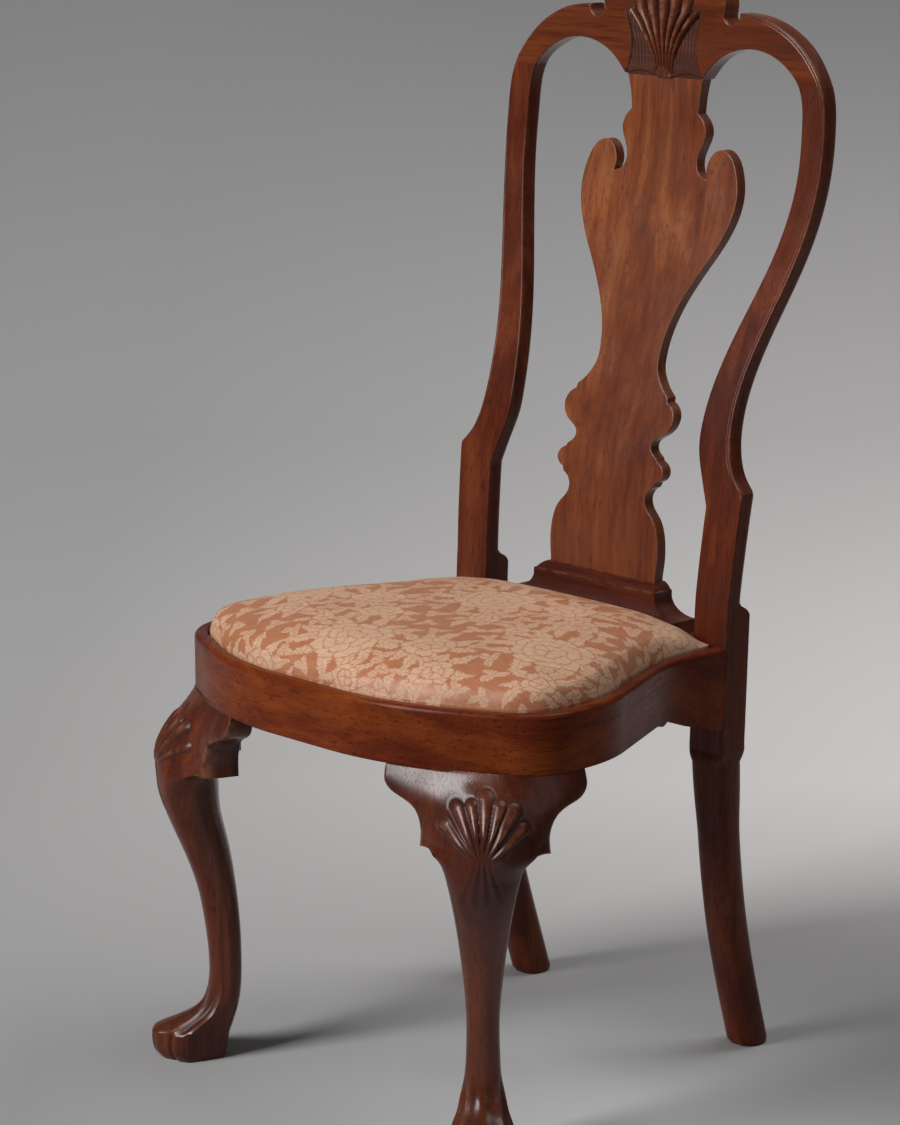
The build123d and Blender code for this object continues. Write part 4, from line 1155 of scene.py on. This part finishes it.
def leg_mesh():
    """Right front leg on its diagonal d with lateral e: at each height an oval |d/a|^p + |e/b|^p = 1.

    The oval turns to the foot's plan outline near the floor, gets toes and instep ridges there, and
    passes into the knee's own face, which carries the shell, near the top.
    """
    z = np.concatenate([np.linspace(*rows) for rows in LEG_ROWS])
    shift, half_d, half_e = np.split(cubic(LEG_TABLE[:, 0], LEG_TABLE[:, 1:], z), 3, axis=1)
    turn = np.linspace(-np.pi, np.pi, LEG_COLUMNS, endpoint=False)
    turn = turn - FRONT_CLOSER * np.sin(turn)
    height, angle = np.meshgrid(z, turn, indexing="ij")
    c, s, scale = squared_round(angle, LEG_POWER)
    depth = half_d * c * scale
    width = half_e * s * scale
    polar = np.arctan2(width, depth)
    oval = 1 / np.sqrt((np.cos(polar) / FOOT_OVAL[0]) ** 2 + (np.sin(polar) / FOOT_OVAL[1]) ** 2)
    low = 1 - steps(height, 22, 62)
    grow = 1 + low * (foot_radius(polar) / oval - 1)
    side = np.abs(polar)
    notch = bump(side, *TOE_NOTCH) * (1 - steps(height, 25, 31))
    instep = steps(height, 27, 33) * (1 - steps(height, 58, 84))
    ridge = sum(np.exp(-np.abs(side - at) / size) for at, size in TOE_RIDGES) * instep
    hollow_top = sum(bump(side, *form) for form in TOE_HOLLOWS) * instep
    grow = grow - TOE_HIGH * notch + TOE_HIGH * ridge - TOE_DEEP * hollow_top
    nick = bump(height, *NICK_HIGH) * bump(angle, *NICK_TURN)
    d = shift + depth * grow - 0.6 * nick
    e = width * grow
    face = np.interp(e, RAIL_ACROSS, RAIL_ALONG) + wing_swell(e, height) + knee_rise(e, height)
    face = face - 0.15 * steps(np.abs(e), 42, 48)
    into = steps(height, 274, 301) * steps(c, 0.0, 0.12)
    d = d * (1 - into) + face * into
    d = np.minimum(d, face + FREE * (1 - steps(height, 281, 297)) + FREE * steps(c, 0.1, 0.25))
    relief, dark, rods = knee_shell(e, height)
    front = (c > 0.05) * steps(height, 240, 249)
    d = d + front * relief * np.cos(0.6 * polar)
    e = e + front * relief * np.sin(0.6 * polar)
    # Dark wax with painted shade in the shell's hollows, the toe notch and the flutes, and a dark nick.
    hollow = np.clip(front * dark + 0.75 * notch + 0.45 * hollow_top + 0.8 * nick, 0, 1)
    # Lighter wood on the shell's rods and the instep ridges: wear with a painted highlight.
    wear_and_highlight = np.clip(front * rods ** 3 * 0.45 + 0.4 * ridge, 0, 1)
    rings = np.stack([LEG_X + DIAGONAL * (d + e), LEG_Y - DIAGONAL * (d - e), height], 2)
    caps = (0, 0)
    return ring_stack(rings), {"hollow": np.append(hollow, caps), "wear_and_highlight": np.append(wear_and_highlight, caps)}


both_sides("leg_{}", "{}_front_leg", wood_leg, *leg_mesh())


# Knee brackets

# Free edge, underside and reach of each wing
FRONT_BRACKET = (((0, 364.5), (-0.6, 357), (1.8, 347.5), (7.5, 342), (22, 335), (29.2, 329), (33, 320),
                  (34.4, 310), (33.8, 296.5)), ((33.8, 296.5), (39, 297), (45, 295.8)), 45.5)
SIDE_BRACKET = (((3, 364.5), (2.4, 357), (5, 347.5), (11, 341.5), (28, 335.5), (35.2, 330), (39.6, 321.5),
                 (41.6, 311), (40.8, 296)), ((40.8, 296), (47, 297), (54, 295.8)), 54.5)
# Shape, start along the rail, axis and depth
BRACKETS = {"front": (FRONT_BRACKET, 106.0, 0, 22.0), "side": (SIDE_BRACKET, 124.0, 1, 40.0)}
BRACKET_EDGE = 2.6


def along_rail(u, start, axis):
    """Places on the rail face, its inward normals and e, for distances u from a start along one axis."""
    line, inward = seat_path(0.0, ARC_STEP)
    part = line[:, 1] < -130 if axis == 0 else line[:, 0] > 150
    line, inward = line[part], inward[part]
    key = line[:, 0] if axis == 0 else -line[:, 1]
    order = np.argsort(key)
    face, normal = (np.stack([np.interp(start + u, key[order], values[order, k]) for k in (0, 1)], 1)
                    for values in (line, inward))
    return face, normal, DIAGONAL * (face[:, 0] - LEG_X + face[:, 1] - LEG_Y)


def knee_bracket(shape, start, axis, thick):
    """Wing beside a leg: a lobe, a hollow and a cusp below the rail, on the same swelling face as the knee.

    A point (u, w, z) lies u along the rail's face and w in from it along the normal; what swells out
    near the knee goes along the leg's diagonal, as the knee does.
    """
    edge, under, reach = shape
    free = np.vstack([natural_spline(edge, 60), natural_spline(under, 24)])
    line = np.vstack([free, [(reach, free[-1, 1]), (reach, RAIL_BOTTOM + 0.5)]])

    def front(u, z, depth):
        _, _, e = along_rail(u, start, axis)
        swell = wing_swell(e, z) + knee_rise(e, z) - 0.12 * (1 - steps(np.abs(e), 40, 46))
        return -swell + round_drop(depth, BRACKET_EDGE) * steps(RAIL_BOTTOM - z, 0, 8)

    verts, faces, depth = slab(even(line, 1.8, closed=True), 2.6, (BRACKET_EDGE,), front,
                               lambda u, z, d: thick + 0 * u, (), lambda flat: line_distance(flat, free))
    face, normal, e = along_rail(verts[:, 0], start, axis)
    near = (1 - steps(np.abs(e), 50, 85))[:, None]
    swollen = normal * (1 - near) + near * (-DIAGONAL, DIAGONAL)
    w = verts[:, 1:2]
    plan = face + np.where(w < 0, swollen, normal) * w
    # Painted shade on the inner faces behind the wing's front; wear on its free edges.
    inner = steps(verts[:, 1], 6, 20)
    fields = {"wear_and_highlight": bump(depth, 0, 1.6) * (1 - inner), "hollow": 0.7 * inner}
    return (np.column_stack([plan, verts[:, 2]]), faces), fields


for label, bracket in BRACKETS.items():
    both_sides("bracket_{}_" + label, "{}_" + label + "_knee_block", wood_leg, *knee_bracket(*bracket))


# Lift-out seat: stuffed damask cover, webbing and the hidden iron

COVER_INSET = 14.5
COVER_REAR_Y = 121.0
COVER_REAR_HALF = 166
CORNER_PULL = 0.45
CORNER_REACH = (80, 34)
COVER_BOTTOM = 402.0
COVER_EDGE_Z = 421
COVER_SPACING = 5.0
HEM_SCALE = 0.82
STUFFING_BASE = 421.6
CROWN_DEPTHS = (0.0, 1.0, 2.3, 4.0, 6.2, 9.0, 18.0, 30.0, 55.0, 85.0, 180.0)
CROWN_HEIGHTS = (421.5, 426.0, 430.0, 433.6, 436.8, 439.6, 444.0, 447.2, 450.0, 451.4, 452.6)
SEAT_MIDDLE = np.array([0.0, -72.0])
# Hem: share of the plan and height of each fold, from the outer edge under the slip frame and back up
HEM = ((0.999, COVER_BOTTOM), (HEM_SCALE, COVER_BOTTOM), (HEM_SCALE, COVER_BOTTOM + 1.0),
       (0.994, COVER_BOTTOM + 1.2))
HELD_BELOW = 0.4235
CLOTH_STEPS = 20
CLOTH_PRESSURE = 4.0
CLOTH_STIFFNESS = 25.0
CLOTH_BENDING = 2.0
SWELL_CAP = 0.004
EVEN_ROUNDS = 60
EVEN_SHARE = 0.6


def cover_outline():
    """Closed plan of the cover: the seat outline drawn in, cut straight at the back with small rounds."""
    line, _ = seat_path(COVER_INSET, COVER_SPACING)
    right = line[(line[:, 1] < COVER_REAR_Y - 6)]
    x = right[-1, 0]
    corner = arc((x, COVER_REAR_Y - 6), (x - 1.8, COVER_REAR_Y - 1.8), (x - 6, COVER_REAR_Y), 5)
    half = np.vstack([right, corner, [(0, COVER_REAR_Y)]])
    return even(np.vstack([half, (half[::-1] * (-1, 1))[1:-1]]), COVER_SPACING, closed=True)


def crown(x, y, depth):
    """Height of the stuffed top: a round edge that eases to a low crown, drawn down at the rear corners."""
    top = np.interp(depth, CROWN_DEPTHS, CROWN_HEIGHTS)
    corner = np.hypot(np.abs(x) - COVER_REAR_HALF, y - COVER_REAR_Y)
    wide, close = (CORNER_PULL * (1 - steps(corner, 0, reach)) for reach in CORNER_REACH)
    pull = 1 - wide - close
    return COVER_EDGE_Z + (top - COVER_EDGE_Z) * pull


def cover_mesh():
    """Skin of the cover: crowned top, side wall, hem turned under the slip frame, flat top of the webbing."""
    loop = cover_outline()
    verts, faces, _ = slab(loop, 5.2, (9.0,), lambda x, y, d: COVER_BOTTOM + 0 * x, crown)
    n = len(loop)
    count = (len(verts) - len(WALL_ROWS) * n) // 2
    verts = verts[:, [0, 2, 1]]
    under = [f for f in faces if max(f) < count]
    rim = np.array([f[0] for f in faces[2 * len(under):2 * len(under) + n]])
    plan = verts[rim, :2] - SEAT_MIDDLE
    folds = [np.column_stack([SEAT_MIDDLE + plan * share, np.full(n, z)]) for share, z in HEM]
    base = verts[:count].copy()
    base[:, :2] = SEAT_MIDDLE + (base[:, :2] - SEAT_MIDDLE) * HEM[-1][0]
    base[:, 2] = STUFFING_BASE
    first = len(verts)
    last = first + len(folds) * n
    verts = np.vstack([verts] + folds + [base])
    loops = [rim] + [first + k * n + np.arange(n) for k in range(len(folds))] + [last + rim]
    skirt = [np.stack([a, np.roll(a, -1), np.roll(b, -1), b], 1) for a, b in zip(loops[:-1], loops[1:])]
    faces = [f for f in faces if max(f) >= count] + np.vstack(skirt).tolist()
    faces += [[last + v for v in f] for f in under]
    used = np.unique(np.concatenate([np.array(f) for f in faces]))
    index = np.full(len(verts), -1)
    index[used] = np.arange(len(used))
    return verts[used], [index[f].tolist() for f in faces]


def coordinates(mesh):
    """Places of the vertices of a mesh, in metres."""
    co = np.empty(len(mesh.vertices) * 3, np.float32)
    mesh.vertices.foreach_get("co", co)
    return co.reshape(-1, 3).astype(float)


def even_out(move, mesh):
    """Movement of each vertex averaged with its neighbours' many times over, so that no crease is left."""
    pairs = np.empty(len(mesh.edges) * 2, int)
    mesh.edges.foreach_get("vertices", pairs)
    a, b = pairs.reshape(-1, 2).T
    count = np.bincount(pairs, minlength=len(move))[:, None]
    for _ in range(EVEN_ROUNDS):
        around = np.stack([np.bincount(a, move[b, k], len(move)) + np.bincount(b, move[a, k], len(move))
                           for k in range(3)], 1)
        move = (1 - EVEN_SHARE) * move + EVEN_SHARE * around / count
    return move


def swell(piece):
    """Let the cover fill under pressure with its skirt held, cap the travel and keep the result."""
    mesh = piece.data
    start = coordinates(mesh)
    held = piece.vertex_groups.new(name="held")
    held.add([int(i) for i in np.where(start[:, 2] < HELD_BELOW)[0]], 1.0, "REPLACE")
    cloth = piece.modifiers.new("fill", "CLOTH")
    cloth.settings.vertex_group_mass = "held"
    cloth.settings.use_pressure = True
    cloth.settings.uniform_pressure_force = CLOTH_PRESSURE
    cloth.settings.tension_stiffness = CLOTH_STIFFNESS
    cloth.settings.compression_stiffness = CLOTH_STIFFNESS
    cloth.settings.bending_stiffness = CLOTH_BENDING
    cloth.settings.effector_weights.gravity = 0.0
    cloth.point_cache.frame_start = 1
    cloth.point_cache.frame_end = CLOTH_STEPS
    scene = bpy.context.scene
    for step in range(1, CLOTH_STEPS + 1):
        scene.frame_set(step)
    shown = piece.evaluated_get(bpy.context.evaluated_depsgraph_get()).to_mesh()
    move = even_out(coordinates(shown) - start, mesh)
    far = np.linalg.norm(move, axis=1)[:, None]
    piece.modifiers.remove(cloth)
    piece.vertex_groups.remove(held)
    scene.frame_set(1)
    moved = start + move * np.minimum(1, SWELL_CAP / np.maximum(far, TINY))
    mesh.vertices.foreach_set("co", moved.ravel())
    mesh.update()


REPEAT_ACROSS = 166.0
REPEAT_ALONG = 186.0
# Flowers: middle, radius, petals in each ring from the outside, tilt
FLOWERS = (((0, 0), 39, (9, 7, 5), 0.2), ((80, 22), 25, (7, 5), 0.9), ((-44, 78), 21, (7, 5), 0.4),
           ((44, -58), 18, (6, 4), 0.1), ((-68, 26), 12, (5,), 0.6))
SPRIG_COUNT = 10
SOFT_EDGE = 0.9
CLOTH_MIDDLE = np.array([0.0, -60.0])
ROLL_TOP = 442
ROLL_LENGTH = 60


def near_copy(p, centre):
    """Offset from the nearest copy of a motif on the half-drop lattice of the cloth."""
    dx = p[:, 0] - centre[0]
    dy = p[:, 1] - centre[1]
    column = np.round(dx / REPEAT_ACROSS)
    dx = dx - REPEAT_ACROSS * column
    dy = dy - REPEAT_ALONG / 2 * column
    dy = dy - REPEAT_ALONG * np.round(dy / REPEAT_ALONG)
    return dx, dy


def coverage(distance):
    """Coverage of a shape from its signed distance, softened over about a millimetre."""
    return np.clip(0.5 - distance / SOFT_EDGE, 0, 1)


def flower_motif(p, centre, radius, petals, tilt):
    """Signed distance of a full flower and its drawn lines: rings of scalloped petals round a small eye."""
    dx, dy = near_copy(p, centre)
    r = np.hypot(dx, dy)
    a = np.arctan2(dy, dx) + tilt
    outer = None
    lines = np.zeros(len(p))
    for k, count in enumerate(petals):
        size = radius * (1 - k / len(petals)) ** 0.85
        within = radius * (1 - (k + 1) / len(petals)) ** 0.85
        swing = a * count / 2 + 0.6 * k
        scallop = size * (0.84 + 0.16 * np.abs(np.cos(swing)) ** 0.55)
        scallop = scallop + 0.7 * np.cos(swing * 6) * (size > 10)
        if outer is None:
            outer = r - scallop
        lines = np.maximum(lines, coverage(np.abs(r - scallop) - 0.7))
        gap = np.abs(np.cos(swing)) * r * 2 / count
        split = (r > within * 0.9) & (r < scallop)
        lines = np.maximum(lines, coverage(gap - 0.5) * split)
        vein = np.abs(np.sin(swing)) * r * 2 / count
        short = (r > size * 0.66) & (r < size * 0.9)
        lines = np.maximum(lines, coverage(vein - 0.15) * short * 0.8)
    return outer, lines


def leaf_motif(p, root, heading, length, width, bend):
    """Signed distance of a toothed leaf on a bent rib, and its drawn rib and side veins."""
    dx, dy = near_copy(p, root)
    t = (dx * math.cos(heading) + dy * math.sin(heading)) / length
    s = -dx * math.sin(heading) + dy * math.cos(heading)
    s = s - bend * length * (t ** 2 - 0.5 * t)
    on = np.clip(t, 0, 1)
    teeth = 1 - 0.42 * np.abs(((on * 6.5 + 0.3 * np.abs(s) / width) % 1))
    half = width * np.sin(np.pi * np.clip(on, 0.001, 0.999) ** 0.75) ** 0.9 * teeth
    past = np.maximum(np.maximum(-t, t - 1), 0) * length
    distance = np.abs(s) - half + past * 2
    rib = coverage(np.abs(s) - 0.35) * (t > 0.08) * (t < 0.86)
    veins = coverage(np.abs((on * 5.5 - np.abs(s) / width * 0.9) % 1 - 0.5) * length / 5.5 - 0.25)
    veins = veins * (np.abs(s) < half * 0.8) * (t > 0.1) * 0.75
    return distance, np.maximum(rib, veins)


def leaf_list():
    """Leaves set evenly round each flower like a collar, each a little turned and bent its own way."""
    leaves = []
    for (x, y), radius, _, tilt in FLOWERS:
        count = 5 + int(radius / 6)
        for k in range(count):
            heading = tilt + 2 * math.pi * k / count
            reach = radius * 0.72
            root = (x + reach * math.cos(heading), y + reach * math.sin(heading))
            length = radius * 0.55 + 17 + 6 * math.sin(k * 2.4)
            leaves.append((root, heading + 0.35 * math.sin(k * 1.7), length, 5.0 + radius * 0.12,
                           0.4 * math.cos(k * 2.1)))
    return leaves


def sprig_list():
    """Sprigs of three small leaves, each set in the widest gap that the rest leaves in the repeat."""
    grid = hex_grid((-REPEAT_ACROSS / 2, -REPEAT_ALONG / 2), (REPEAT_ACROSS / 2, REPEAT_ALONG / 2), 2.5)
    motifs = [leaf_motif(grid, *leaf) for leaf in leaf_list()]
    motifs += [flower_motif(grid, *flower) for flower in FLOWERS]
    gap = np.minimum.reduce([distance for distance, _ in motifs])
    sprigs = []
    for k in range(SPRIG_COUNT):
        widest = int(np.argmax(gap))
        length = float(np.clip(gap[widest] * 1.25, 5.0, 14.0))
        for side in range(3):
            sprigs.append((tuple(grid[widest]), 2.4 * k + 2.1 * side, length, 0.4 * length, 0.3))
        gap = np.minimum(gap, np.hypot(*near_copy(grid, grid[widest])) - length)
    return sprigs


def wander(p):
    """Small drift of the drawing, so that no two petals are alike: sums of sines each way."""
    x, y = p.T
    dx = 2.2 * np.sin(0.13 * y + 0.7 * np.sin(0.05 * x)) + 0.9 * np.sin(0.41 * y + 0.23 * x)
    dy = 2.2 * np.sin(0.12 * x + 0.6 * np.sin(0.06 * y) + 1.3) + 0.9 * np.sin(0.37 * x - 0.29 * y)
    return np.stack([x + dx, y + dy], 1)


def damask(p):
    """Share of cream figure at each place on the cloth.

    Sprigs and leaves come first and flowers over them, each with a thin line of ground round it.
    """
    p = wander(p)
    figure = np.zeros(len(p))
    motifs = [(leaf_motif, leaf) for leaf in sprig_list() + leaf_list()]
    motifs += [(flower_motif, flower) for flower in reversed(FLOWERS)]
    for motif, shape in motifs:
        distance, lines = motif(p, *shape)
        figure = figure * (1 - coverage(distance - 1.0))
        figure = np.maximum(figure, coverage(distance) * (1 - lines))
    return figure


def damask_cloth():
    """Silk damask: copper satin ground and matt cream figure with fine ribs of weft, a little soiled."""
    material, tree, shader = new_material("damask_cloth")
    figure = attribute(tree, "figure")
    place = placed(tree)
    slub = spread(noise(placed(tree, (0.35, 4.0, 1)), 260.0, 3.0), 0.3, 0.7)
    soil = noise(place, 11.0, 3.0)
    ground = mix_colour(slub, srgb(158, 97, 64), srgb(180, 117, 82))
    cream = mix_colour(slub, srgb(189, 149, 120), srgb(206, 168, 139))
    colour = mix_colour(figure, ground, cream)
    colour = mix_colour(spread(soil, 0.42, 0.72, 0.0, 0.2), colour, srgb(140, 98, 70))
    height = plus(times(wave(place, "Y", 330.0, 0.6), 0.35), times(figure, 0.8))
    set_inputs(shader, Base_Color=colour, Roughness=spread(figure, 0.0, 1.0, 0.4, 0.66),
               Specular_IOR_Level=0.4, Sheen_Weight=0.25, Sheen_Roughness=0.4,
               Sheen_Tint=srgb(236, 190, 156), Normal=bump_node(height, 0.25, 0.0005))
    return material


def make_cover():
    """Swell the cover, subdivide it and lay the figure on it."""
    mesh = new_mesh("cover_start", *cover_mesh())
    piece = add_object("seat_cover", mesh)
    swell(piece)
    finer = piece.modifiers.new("finer", "SUBSURF")
    finer.levels = 2
    finer.render_levels = 2
    graph = bpy.context.evaluated_depsgraph_get()
    fine = bpy.data.meshes.new_from_object(piece.evaluated_get(graph))
    piece.modifiers.clear()
    piece.data = fine
    bpy.data.meshes.remove(mesh)
    fine.name = "seat_cover"
    co = coordinates(fine) / MM
    away = unit(co[:, :2] - CLOTH_MIDDLE)
    set_field(fine, "figure", damask(co[:, :2] + away * np.clip(ROLL_TOP - co[:, 2:], 0, ROLL_LENGTH)))
    smooth(fine)
    fine.materials.clear()
    fine.materials.append(damask_cloth())
    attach(piece, "slip_seat")
    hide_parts("damask_cover", "seat_stuffing")


make_cover()

WEB_WIDTH = 44.0
WEB_PITCH = 64.0
WEB_THICK = 0.8
WEB_MIDDLE_Z = 420.2
WEB_WAVE = 0.55
WEB_COLUMNS = 9
WEB_FRONT_Y = -214.0
WEB_REAR_Y = 101.0
WEB_MIDDLE_Y = -42
WEB_HALVES = (205.0, 184.0, 156.0)
YARN_SCALE = 110.0


def strap(start, end, across, phase):
    """One strap of webbing: a flat band whose height swings as cos over and under the straps it crosses."""
    length = np.linalg.norm(np.subtract(end, start))
    t = np.linspace(0, 1, int(length / 4))
    line = np.array(start) + t[:, None] * np.subtract(end, start)
    wave_z = WEB_WAVE * np.cos(np.pi * (t * length - phase) / WEB_PITCH)
    z = WEB_MIDDLE_Z + wave_z * (steps(t, 0, 0.12) * (1 - steps(t, 0.88, 1)))
    u = np.linspace(-0.5, 0.5, WEB_COLUMNS)
    loop_u = np.concatenate([u, u[::-1]])
    loop_z = np.repeat((-WEB_THICK / 2, WEB_THICK / 2), WEB_COLUMNS)
    offset = np.outer(loop_u * WEB_WIDTH, across)
    return ring_stack([np.column_stack([p + offset, height + loop_z]) for p, height in zip(line, z)])


def webbing_cloth():
    """Jute webbing: a plain weave of coarse flecked yarns, dark between them."""
    material, tree, shader = new_material("jute_webbing")
    place = placed(tree)
    weave = times(wave(place, "X", YARN_SCALE, 0.8), wave(place, "Y", YARN_SCALE, 0.8))
    fleck = noise(place, 90.0, 3.0)
    colour = mix_colour(spread(fleck, 0.3, 0.7), srgb(134, 104, 70), srgb(170, 140, 98))
    colour = mix_colour(spread(weave, 0.0, 0.5, 0.4, 0.0), colour, srgb(84, 62, 40))
    set_inputs(shader, Base_Color=colour, Roughness=spread(fleck, 0.3, 0.7, 0.75, 0.92),
               Normal=bump_node(weave, 0.5, 0.0008))
    return material


def webbing_mesh():
    """Four straps front to back woven with three across."""
    parts = []
    first_x = -1.5 * WEB_PITCH
    first_y = WEB_MIDDLE_Y - WEB_PITCH
    for k in range(4):
        x = first_x + k * WEB_PITCH
        phase = first_y - WEB_FRONT_Y + WEB_PITCH * k
        parts.append(strap((x, WEB_FRONT_Y), (x, WEB_REAR_Y), (1, 0), phase))
    for k, half in enumerate(WEB_HALVES):
        y = first_y + k * WEB_PITCH
        phase = half + first_x + WEB_PITCH * (k + 1)
        parts.append(strap((-half, y), (half, y), (0, -1), phase))
    faces = []
    first = 0
    for part_verts, part_faces in parts:
        faces += [tuple(first + v for v in f) for f in part_faces]
        first += len(part_verts)
    return np.vstack([part_verts for part_verts, _ in parts]), faces


make_piece("webbing_straps", webbing_mesh(), webbing_cloth(), "slip_seat", ["seat_webbing"])


def forged_iron():
    """Old hand-cut tacks: dull dark iron with rusty spots."""
    material, tree, shader = new_material("forged_iron")
    spots = noise(placed(tree), 700.0, 4.0)
    colour = mix_colour(spread(spots, 0.45, 0.65), srgb(56, 52, 50), srgb(96, 62, 42))
    set_inputs(shader, Base_Color=colour, Metallic=spread(spots, 0.45, 0.65, 0.8, 0.15),
               Roughness=spread(spots, 0.3, 0.7, 0.45, 0.8))
    return material


iron = forged_iron()
CAD_FINISHES = {"cover_tacks": iron, "webbing_tacks": iron, "crest_pegs": wood_post,
                "side_rail_pegs": wood_leg, "leg_tenon_wedges": wood_leg, "rear_rail": wood_shoe,
                "slip_frame_front": wood_pine, "slip_frame_back": wood_pine,
                "slip_frame_left": wood_pine_long, "slip_frame_right": wood_pine_long}
for node, finish in CAD_FINISHES.items():
    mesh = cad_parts[node].data
    mesh.materials.clear()
    mesh.materials.append(finish)


# Stage, light and camera

VIEW_TURN = math.radians(46)
SHEET_NEAR = -5.0
SHEET_BEND = 3.2
BEND_RADIUS = 1.6
SHEET_TOP = 6.0
SHEET_HALF = 7.0
# Lamps: name, place, target, size, power
LAMPS = (("key", (-0.8, -3.4, 2.7), (0, 0, 0.5), (1.4, 2.4), 168),
         ("fill", (3.4, -0.4, 1.6), (0, 0, 0.5), (2.0, 2.0), 6),
         ("wash", (0.5, 1.0, 3.2), (-1.7, 2.6, 0.2), (2.4, 1.6), 54))
SKY = (0.9, 0.95, 1.0)
SKY_STRENGTH = 0.08
CAMERA_PLACE = (2.3765, -2.3546, 1.2476)
CAMERA_TILT = math.radians(77.281)
CAMERA_LENS = 115.45
SENSOR_WIDTH = 36.0


def studio_paper():
    """Grey paper whose tone carries painted light and shade: darker near the front and up the backdrop, paler
    behind the object and to the right.

    Its back and underside are clear, so that the object shows from every side.
    """
    material, tree, shader = new_material("studio_paper")
    right, away, up = split_xyz(placed(tree, turn=(0, 0, -VIEW_TURN)))
    # Painted light falloff and painted shadow: paler away and to the right, darker at the front right, paler
    # in the middle front.
    tone = mix_colour(spread(away, -0.9, 1.1), srgb(138, 138, 138), srgb(176, 174, 173))
    pale = times(spread(right, -0.6, 0.9), spread(away, 0.1, 0.95))
    tone = mix_colour(pale, tone, srgb(238, 233, 231))
    middle = times(spread(right, -0.45, -0.1), spread(right, 0.4, 0.05))
    near = times(spread(away, 0.35, -0.1), middle)
    tone = mix_colour(near, tone, srgb(194, 193, 193))
    far = mix_colour(pale, srgb(214, 213, 212), srgb(244, 240, 239))
    tone = mix_colour(spread(away, 1.1, 3.3), tone, far)
    high = mix_colour(spread(right, -0.7, 0.5), srgb(166, 165, 165), srgb(151, 150, 150))
    climb = math_node("POWER", spread(up, 0.0, 0.85), 0.55)
    set_inputs(shader, Base_Color=mix_colour(climb, tone, high), Roughness=0.9, Specular_IOR_Level=0.2)
    either = add_node(tree, "MixShader")
    clear = add_node(tree, "BsdfTransparent")
    back = add_node(tree, "NewGeometry").outputs["Backfacing"]
    for socket, value in zip(either.inputs, (back, shader.outputs[0], clear.outputs[0])):
        feed(socket, value)
    feed(tree.nodes["Material Output"].inputs["Surface"], either.outputs[0])
    return material


def stage_sheet():
    """Floor that curves up into a backdrop, across the line of sight."""
    along = np.array([-math.sin(VIEW_TURN), math.cos(VIEW_TURN)])
    across = np.array([along[1], -along[0]])
    bend = np.radians(np.linspace(6, 90, 16))
    floor_depth = np.linspace(SHEET_NEAR, SHEET_BEND, 12)
    depth = [*floor_depth, *(SHEET_BEND + BEND_RADIUS * np.sin(bend)), SHEET_BEND + BEND_RADIUS]
    height = [*(0 * floor_depth), *(BEND_RADIUS - BEND_RADIUS * np.cos(bend)), SHEET_TOP]
    verts = []
    for side in (-SHEET_HALF, SHEET_HALF):
        verts += [(*(along * d + across * side), h) for d, h in zip(depth, height)]
    n = len(depth)
    mesh = bpy.data.meshes.new("floor")
    mesh.from_pydata(verts, [], [(i, n + i, n + i + 1, i + 1) for i in range(n - 1)])
    smooth(mesh)
    floor = add_object("floor", mesh)
    mesh.materials.append(studio_paper())


def area_light(name, place, target, size, power):
    """Soft rectangular lamp aimed at a point."""
    data = bpy.data.lights.new(name, "AREA")
    data.shape = "RECTANGLE"
    data.size, data.size_y = size
    data.energy = power
    lamp = add_object(name, data)
    lamp.location = place
    lamp.rotation_euler = (Vector(target) - Vector(place)).to_track_quat("-Z", "Y").to_euler()


stage_sheet()
scene = bpy.context.scene
scene.view_settings.view_transform = "Standard"
scene.world = bpy.data.worlds.new("studio")
scene.world.use_nodes = True
set_inputs(scene.world.node_tree.nodes["Background"], Color=SKY, Strength=SKY_STRENGTH)
for lamp_values in LAMPS:
    area_light(*lamp_values)

camera_data = bpy.data.cameras.new("camera")
camera_data.lens = CAMERA_LENS
camera_data.sensor_width = SENSOR_WIDTH
camera = add_object("camera", camera_data)
camera.location = CAMERA_PLACE
camera.rotation_euler = (CAMERA_TILT, 0, VIEW_TURN)
scene.camera = camera
